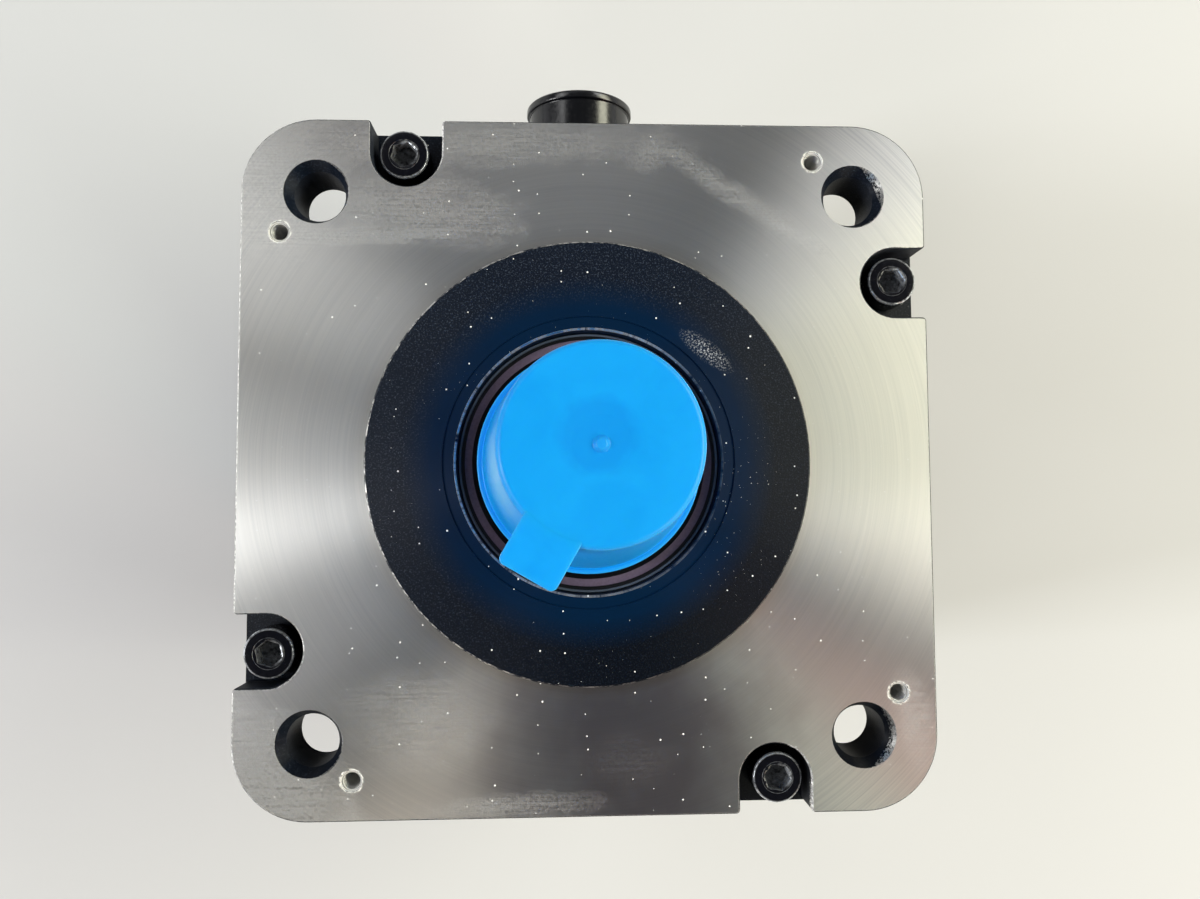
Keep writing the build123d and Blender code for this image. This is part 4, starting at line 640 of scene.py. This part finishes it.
def screw_shape(size, head, length, columns):
    """A socket head cap screw, its head standing on the plane at 0, as one grid of rows and columns.

    The rows run from the bottom of the socket up its six flats, over a countersink and the flat top, round
    the edge, down the knurled side and along the shank. A flat lies key / cos(angle to its middle) from the
    axis. The rounded edge is worn brightest, and a painted highlight is added to the wear on one side of the
    socket.
    Returns the points, how worn each one is and the number of rows.
    """
    angle = np.arange(columns) * 2 * math.pi / columns
    key = 0.375 * size
    sixth = math.pi / 3
    hexagon = 1 / np.cos((angle + sixth / 2) % sixth - sixth / 2)
    plain = np.ones(columns)
    knurl = np.where(np.arange(columns) % 2 == 0, 1.0, 1 - 0.011 * 8 / size)
    rim = head / 2
    edge = 0.055 * size
    ring = 0.5 * size
    # Painted highlight: one side of the socket's flats and countersink is brightened, standing in for light
    # caught there
    painted_socket_glint = np.clip(np.cos(angle), 0, 1) ** 3
    chamfer = 0.8
    # Each row: radius, height, shape and wear, with the painted highlight added on one side of the socket
    rows = [
        # Socket: bottom and flats
        (0.0, 0.36 * size, plain, 0.25),
        (key * 0.7, 0.42 * size, hexagon, 0.3),
        (key, 0.44 * size, hexagon, 0.2),
        (key, 0.7 * size, hexagon, 0.1 + painted_socket_glint * 0.3),
        (key, 0.955 * size, hexagon, 0.1 + painted_socket_glint * 0.5),
        # Countersink, and a fine groove round it in the flat top
        (key * 1.02, 0.97 * size, hexagon, 0.2 + painted_socket_glint),
        (key * 1.06, 0.985 * size, hexagon, painted_socket_glint),
        (key * 1.22, size, plain, painted_socket_glint * 0.5),
        (ring - 0.014 * size, size, plain, 0),
        (ring - 0.005 * size, 0.992 * size, plain, 0.1),
        (ring + 0.005 * size, 0.992 * size, plain, 0.15),
        (ring + 0.014 * size, size, plain, 0),
        # Rounded edge, rubbed bright
        (rim - edge * 1.5, size, plain, 0),
        (rim - edge, size - edge * 0.1, plain, 0.3),
        (rim - edge * 0.45, size - edge * 0.5, plain, 1),
        (rim - edge * 0.2, size - edge, plain, 1),
        (rim - edge * 0.1, size - edge * 1.5, plain, 0.2),
        # Knurled side, underside and shank
        (rim, size - edge * 2, knurl, 0),
        (rim, edge, knurl, 0),
        (rim - 0.15, edge * 0.4, plain, 0),
        (rim - edge, 0.0, plain, 0),
        (size / 2, 0.0, plain, 0),
        (size / 2, chamfer - length, plain, 0),
        (size / 2 - chamfer, -length, plain, 0),
        (0.0, -length, plain, 0),
    ]
    radii = np.array([r * shape for r, _, shape, _ in rows])
    heights = np.array([z for _, z, _, _ in rows])[:, None]
    points = np.stack(np.broadcast_arrays(radii * np.cos(angle), radii * np.sin(angle), heights), axis=-1)
    wear = np.concatenate([np.broadcast_to(worn, columns) for *_, worn in rows])
    return points.reshape(-1, 3), wear, len(rows)


def screws(name, node, size, direction, turns, columns=144):
    """Cap screws where a CAD node has them; direction is where their heads face, as an axis and a sign."""
    axis, sign = direction
    head = 1.5 * size + 1
    groups = []
    for (low, high), turn in zip(quarters(node), turns):
        length = high[axis] - low[axis] - size
        points, wear, rows = screw_shape(size, head, length, columns)
        c, s = math.cos(math.radians(turn)), math.sin(math.radians(turn))
        points = points @ np.array(((c, s, 0), (-s, c, 0), (0, 0, 1)))
        if axis == 1:
            points = points[:, (0, 2, 1)] * (1, 1, -1)
        if sign < 0:
            points = points * (1, -1, -1)
        centre = (low + high) / 2
        centre[axis] = high[axis] - size if sign > 0 else low[axis] + size
        groups.append((points + centre, grid_faces(rows, columns), wear))
    offsets = np.cumsum([0] + [len(g[0]) for g in groups[:-1]])
    points = np.concatenate([g[0] for g in groups])
    faces = np.concatenate([g[1] + o for g, o in zip(groups, offsets)])
    wear = np.concatenate([g[2] for g in groups])
    mesh_piece(name, points, faces, "housing", "black_oxide_steel", (node,), 30.0, wear)


screws("flange_cap_screws", "flange_screws", 8, (2, 1), (12, 47, 20, 33))
screws("bracket_cap_screws", "bracket_screws", 6, (2, -1), (5, 31, 52, 18), 96)
screws("cover_cap_screws", "cover_screws", 4, (2, -1), (24, 8, 41, 3), 96)
screws("box_cap_screws", "box_screws", 4, (1, 1), (14, 50, 28, 9), 96)
screws("power_cap_screws", "power_receptacle_screws", 3, (1, 1), (4, 22, 37, 51), 72)
screws("encoder_cap_screws", "encoder_receptacle_screws", 3, (1, 1), (16, 44, 9, 30), 72)


# Shaft cap

nub_height = 0.5
cap_low, cap_high = (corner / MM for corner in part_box("shaft_cap"))
cap_foot = cap_low.z
cap_top = cap_high.z - nub_height
end_radius = 19.0
foot_radius = 27.0
bead_radius = 28.5
cap_wall = 1.0
end_thickness = 1.7
bead_height = 1.4
dish_depth = 0.3
cap_columns = 160
tab_angle = math.radians(240)
tab_width = 11.7
tab_reach = (15.3, 27.4)
tab_corner = 1.3
tab_thickness = 1.6
tab_sink = 0.004


def shaft_cap():
    """A profile turned round the axis: a tapering wall with a bead, and an end with a dish and a nub."""
    outline = rounded((
        # Inside
        (0.0, cap_top - end_thickness, 0),
        (end_radius - cap_wall, cap_top - end_thickness, 0.4),
        (foot_radius - cap_wall, cap_foot, 0.3),
        # Bead and wall
        (bead_radius, cap_foot, 0.3),
        (bead_radius, cap_foot + bead_height, 0.45),
        (foot_radius, cap_foot + bead_height, 0.4),
        (end_radius, cap_top, 1.3),
        # End, dish and nub
        (end_radius - 3.0, cap_top, 0),
        (8.4, cap_top - 0.03, 6.0),
        (5.4, cap_top - dish_depth + 0.02, 3.0),
        (1.6, cap_top - dish_depth, 0.3),
        (0.95, cap_top + nub_height * 0.8, 0.3),
        (0.0, cap_top + nub_height, 0),
    ), 6)
    height = np.repeat(outline[:, 1], cap_columns)
    radius = np.repeat(outline[:, 0], cap_columns)
    bead = (radius > foot_radius + 0.9) * (height > cap_foot + 0.5) * 0.35
    nub = (radius < 1.4) * (height > cap_top - 0.1) * 0.2
    return turned(outline, cap_columns), grid_faces(len(outline), cap_columns), np.maximum(bead, nub)


def pull_tab():
    """A plate with rounded corners: rings of a rounded rectangle, inset where its two faces meet its side.

    Its face lies level with the cap's end and runs under the end's rounded edge, as one moulding does.
    """
    half_long = (tab_reach[1] - tab_reach[0]) / 2
    half_wide = tab_width / 2
    low = -tab_thickness
    # Each row: inset, height and wear
    rows = (
        (1.2, low, 0), (0.25, low, 0.1), (0.06, low + 0.1, 0.3), (0.0, low + 0.3, 0.3),
        (0.0, -0.25, 0.4), (0.06, -0.08, 0.3), (0.25, 0.0, 0.1), (1.2, 0.0, 0),
    )
    steps = 9
    angle = np.concatenate([np.linspace(0, math.pi / 2, steps) + k * math.pi / 2 for k in range(4)])
    centre_x = np.repeat(np.array((1, -1, -1, 1)), steps) * (half_long - tab_corner)
    centre_y = np.repeat(np.array((1, 1, -1, -1)), steps) * (half_wide - tab_corner)
    rings = []
    for inset, z, _ in rows:
        x = centre_x + (tab_corner - inset) * np.cos(angle)
        y = centre_y + (tab_corner - inset) * np.sin(angle)
        rings.append(np.stack((x, y, np.full(len(angle), z)), axis=-1))
    rings = [rings[0] * (0, 0, 1)] + rings + [rings[-1] * (0, 0, 1)]
    points = np.concatenate(rings) + (sum(tab_reach) / 2, 0, 0)
    c, s = math.cos(tab_angle), math.sin(tab_angle)
    points = points @ np.array(((c, s, 0), (-s, c, 0), (0, 0, 1))) + (0, 0, cap_top - tab_sink)
    worn = np.repeat([0] + [wear for *_, wear in rows] + [0], len(angle))
    return points, grid_faces(len(rings), len(angle)), worn


for name, replaced, (points, faces, worn) in (
    ("shaft_cap_moulding", ("shaft_cap",), shaft_cap()),
    ("shaft_cap_tab", (), pull_tab()),
):
    mesh_piece(name, points, faces, "shaft_cap", "blue_moulded_plastic", replaced, 50.0, worn)


# Dust caps

def dust_cap(name, node, lip_height):
    """A cup turned round the connector's axis, with a lip at its closed end and rounded edges."""
    low, high = (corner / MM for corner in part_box(node))
    lip = (high.x - low.x) / 2
    overhang = 1.1 if lip > 17 else 0.95
    wall = lip - overhang
    inner = wall - 0.9
    top = high.y - low.y
    floor_depth = 2.2
    recess = 0.5
    columns = 128
    outline = rounded((
        (0.0, top - floor_depth, 0), (inner, top - floor_depth, 0.5), (inner, 0.0, 0.2), (wall, 0.0, 0.25),
        (wall, top - lip_height, 0.35), (lip, top - lip_height, 0.5), (lip, top, 0.8),
        (lip - 2.6, top, 0.6), (lip - 3.4, top - recess, 0.6), (0.0, top - recess, 0),
    ), 5)
    points = upright(turned(outline, columns), ((low.x + high.x) / 2, low.y, (low.z + high.z) / 2))
    faces = grid_faces(len(outline), columns)
    mesh_piece(name, points, faces, node, "black_moulded_plastic", (node,), 40.0)


dust_cap("power_cap_moulding", "power_dust_cap", 2.8)
dust_cap("encoder_cap_moulding", "encoder_dust_cap", 2.2)


# Floor, lights and camera

backdrop_colour = "dedfe0"
# Half the sheet's width, in metres, and where it begins and ends to fade, in millimetres
floor_reach = 6.0
fade_from = 450.0
fade_to = 1300.0


def floor():
    """A pale sheet far wider than the motor, under its rear cover.

    The lamps leave it dark far from the motor, so there it fades to the backdrop's tone for the camera.
    """
    data = bpy.data.meshes.new("floor")
    low = cad_box[0][2]
    signs = ((-1, -1), (1, -1), (1, 1), (-1, 1))
    corners = [(x * floor_reach, y * floor_reach, low) for x, y in signs]
    data.from_pydata(corners, [], [(0, 1, 2, 3)])
    sheet = bpy.data.objects.new("floor", data)
    bpy.context.scene.collection.objects.link(sheet)
    material, tree, mm = begin("pale_matt_floor")
    cloud = add(tree, "TexNoise", {"Vector": mm, "Scale": 1 / 400.0, "Detail": 2.0})
    colour = add(tree, "Mix", {0: cloud, 6: linear("cfd1d4"), 7: linear("d5d7d9")}, **RGBA)
    sheet_shader = add(tree, "BsdfPrincipled", {"Base Color": colour, "Roughness": 0.85})
    backdrop = add(tree, "Emission", {"Color": linear(backdrop_colour), "Strength": 1.0})
    distance = add(tree, "VectorMath", {0: mm}, out="Value", operation="LENGTH")
    fade = add(tree, "MapRange", {"Value": distance, "From Min": fade_from, "From Max": fade_to},
               interpolation_type="SMOOTHSTEP")
    seen = add(tree, "LightPath", out="Is Camera Ray")
    fade = add(tree, "Math", {0: fade, 1: seen}, operation="MULTIPLY")
    shader = add(tree, "MixShader", {0: fade, 1: sheet_shader, 2: backdrop})
    add(tree, "OutputMaterial", {"Surface": shader})
    data.materials.append(material)


floor()

# Lamps, low and wide as a room's windows are: azimuth and elevation of their middles about the centre of
# the face, half their width and height, all in degrees, then the light that they send there and their colour.
# Their distance is 2.5 m, so that each fan on the turned face points at its centre.
lamp_distance = 2.5
lamps = (
    ("lamp_right", 14, 32, 24, 10, 2.5, "fdfbe2"),
    ("lamp_upper_right", 44, 36, 8, 8, 0.34, "ffffff"),
    ("lamp_lower_right", -13, 28, 8, 10, 0.95, "fffaee"),
    ("lamp_left", 190, 29, 5, 10, 1.45, "ffffff"),
    ("lamp_left_wall", 176, 32, 12, 8, 0.58, "ffffff"),
    ("lamp_low_wall", 211, 32, 8, 8, 0.28, "fdfbff"),
    ("lamp_upper_left", 143, 42, 12, 9, 0.32, "ffffff"),
    ("lamp_top", 98, 45, 28, 8, 0.14, "f8faff"),
    ("lamp_lower_left", 244, 34, 7, 9, 0.36, "fff0dc"),
    ("lamp_front", 322, 25, 5, 8, 0.42, "ffc8b4"),
    ("lamp_front_low", 310, 25, 6, 8, 0.56, "fbffe8"),
)
for name, azimuth, elevation, half_width, half_height, light, colour in lamps:
    lamp = bpy.data.lights.new(name, "AREA")
    lamp.shape = "RECTANGLE"
    a, e = math.radians(azimuth), math.radians(elevation)
    lamp.size = 2 * lamp_distance * math.tan(math.radians(half_width) * math.cos(e))
    lamp.size_y = 2 * lamp_distance * math.tan(math.radians(half_height))
    lamp.energy = light * math.pi * lamp_distance ** 2
    lamp.color = linear(colour)[:3]
    holder = bpy.data.objects.new(name, lamp)
    towards = Vector((math.cos(a) * math.cos(e), math.sin(a) * math.cos(e), math.sin(e)))
    holder.location = towards * lamp_distance
    holder.rotation_euler = (-holder.location).to_track_quat("-Z", "Y").to_euler()
    holder.visible_camera = False
    bpy.context.scene.collection.objects.link(holder)

# World: a dim ceiling, and a pale backdrop that the camera sees, and gloss too where it looks low
world = bpy.data.worlds.new("studio")
world.use_nodes = True
tree = world.node_tree
tree.nodes.clear()
direction = add(tree, "TexCoord", out="Generated")
height = add(tree, "SeparateXYZ", {0: direction}, out="Z")
wall = add(tree, "MapRange", {"Value": height, "From Min": 0.4, "From Max": 0.12})
gloss = add(tree, "LightPath", out="Is Glossy Ray")
wall = add(tree, "Math", {0: wall, 1: gloss}, operation="MULTIPLY")
seen = add(tree, "LightPath", out="Is Camera Ray")
wall = add(tree, "Math", {0: wall, 1: seen}, operation="MAXIMUM")
ceiling_strength = 0.1
strength = add(tree, "MapRange", {"Value": wall, "To Min": ceiling_strength, "To Max": 1.0})
backdrop = add(tree, "Background", {"Color": linear(backdrop_colour), "Strength": strength})
add(tree, "OutputWorld", {"Surface": backdrop})
bpy.context.scene.world = world

# The camera of the photograph, solved from the mounting holes and the flange's edges
eye = bpy.data.cameras.new("eye")
eye.lens = 27.0
eye.sensor_width = 36.0
eye.clip_start = 0.01
eye.clip_end = 50.0
camera = bpy.data.objects.new("camera", eye)
camera.location = (-7.436 * MM, -10.538 * MM, 232.804 * MM)
camera.rotation_euler = Euler([math.radians(turn) for turn in (3.3917, -2.5173, -0.3005)])
bpy.context.scene.collection.objects.link(camera)
bpy.context.scene.camera = camera
bpy.context.scene.view_settings.view_transform = "Standard"
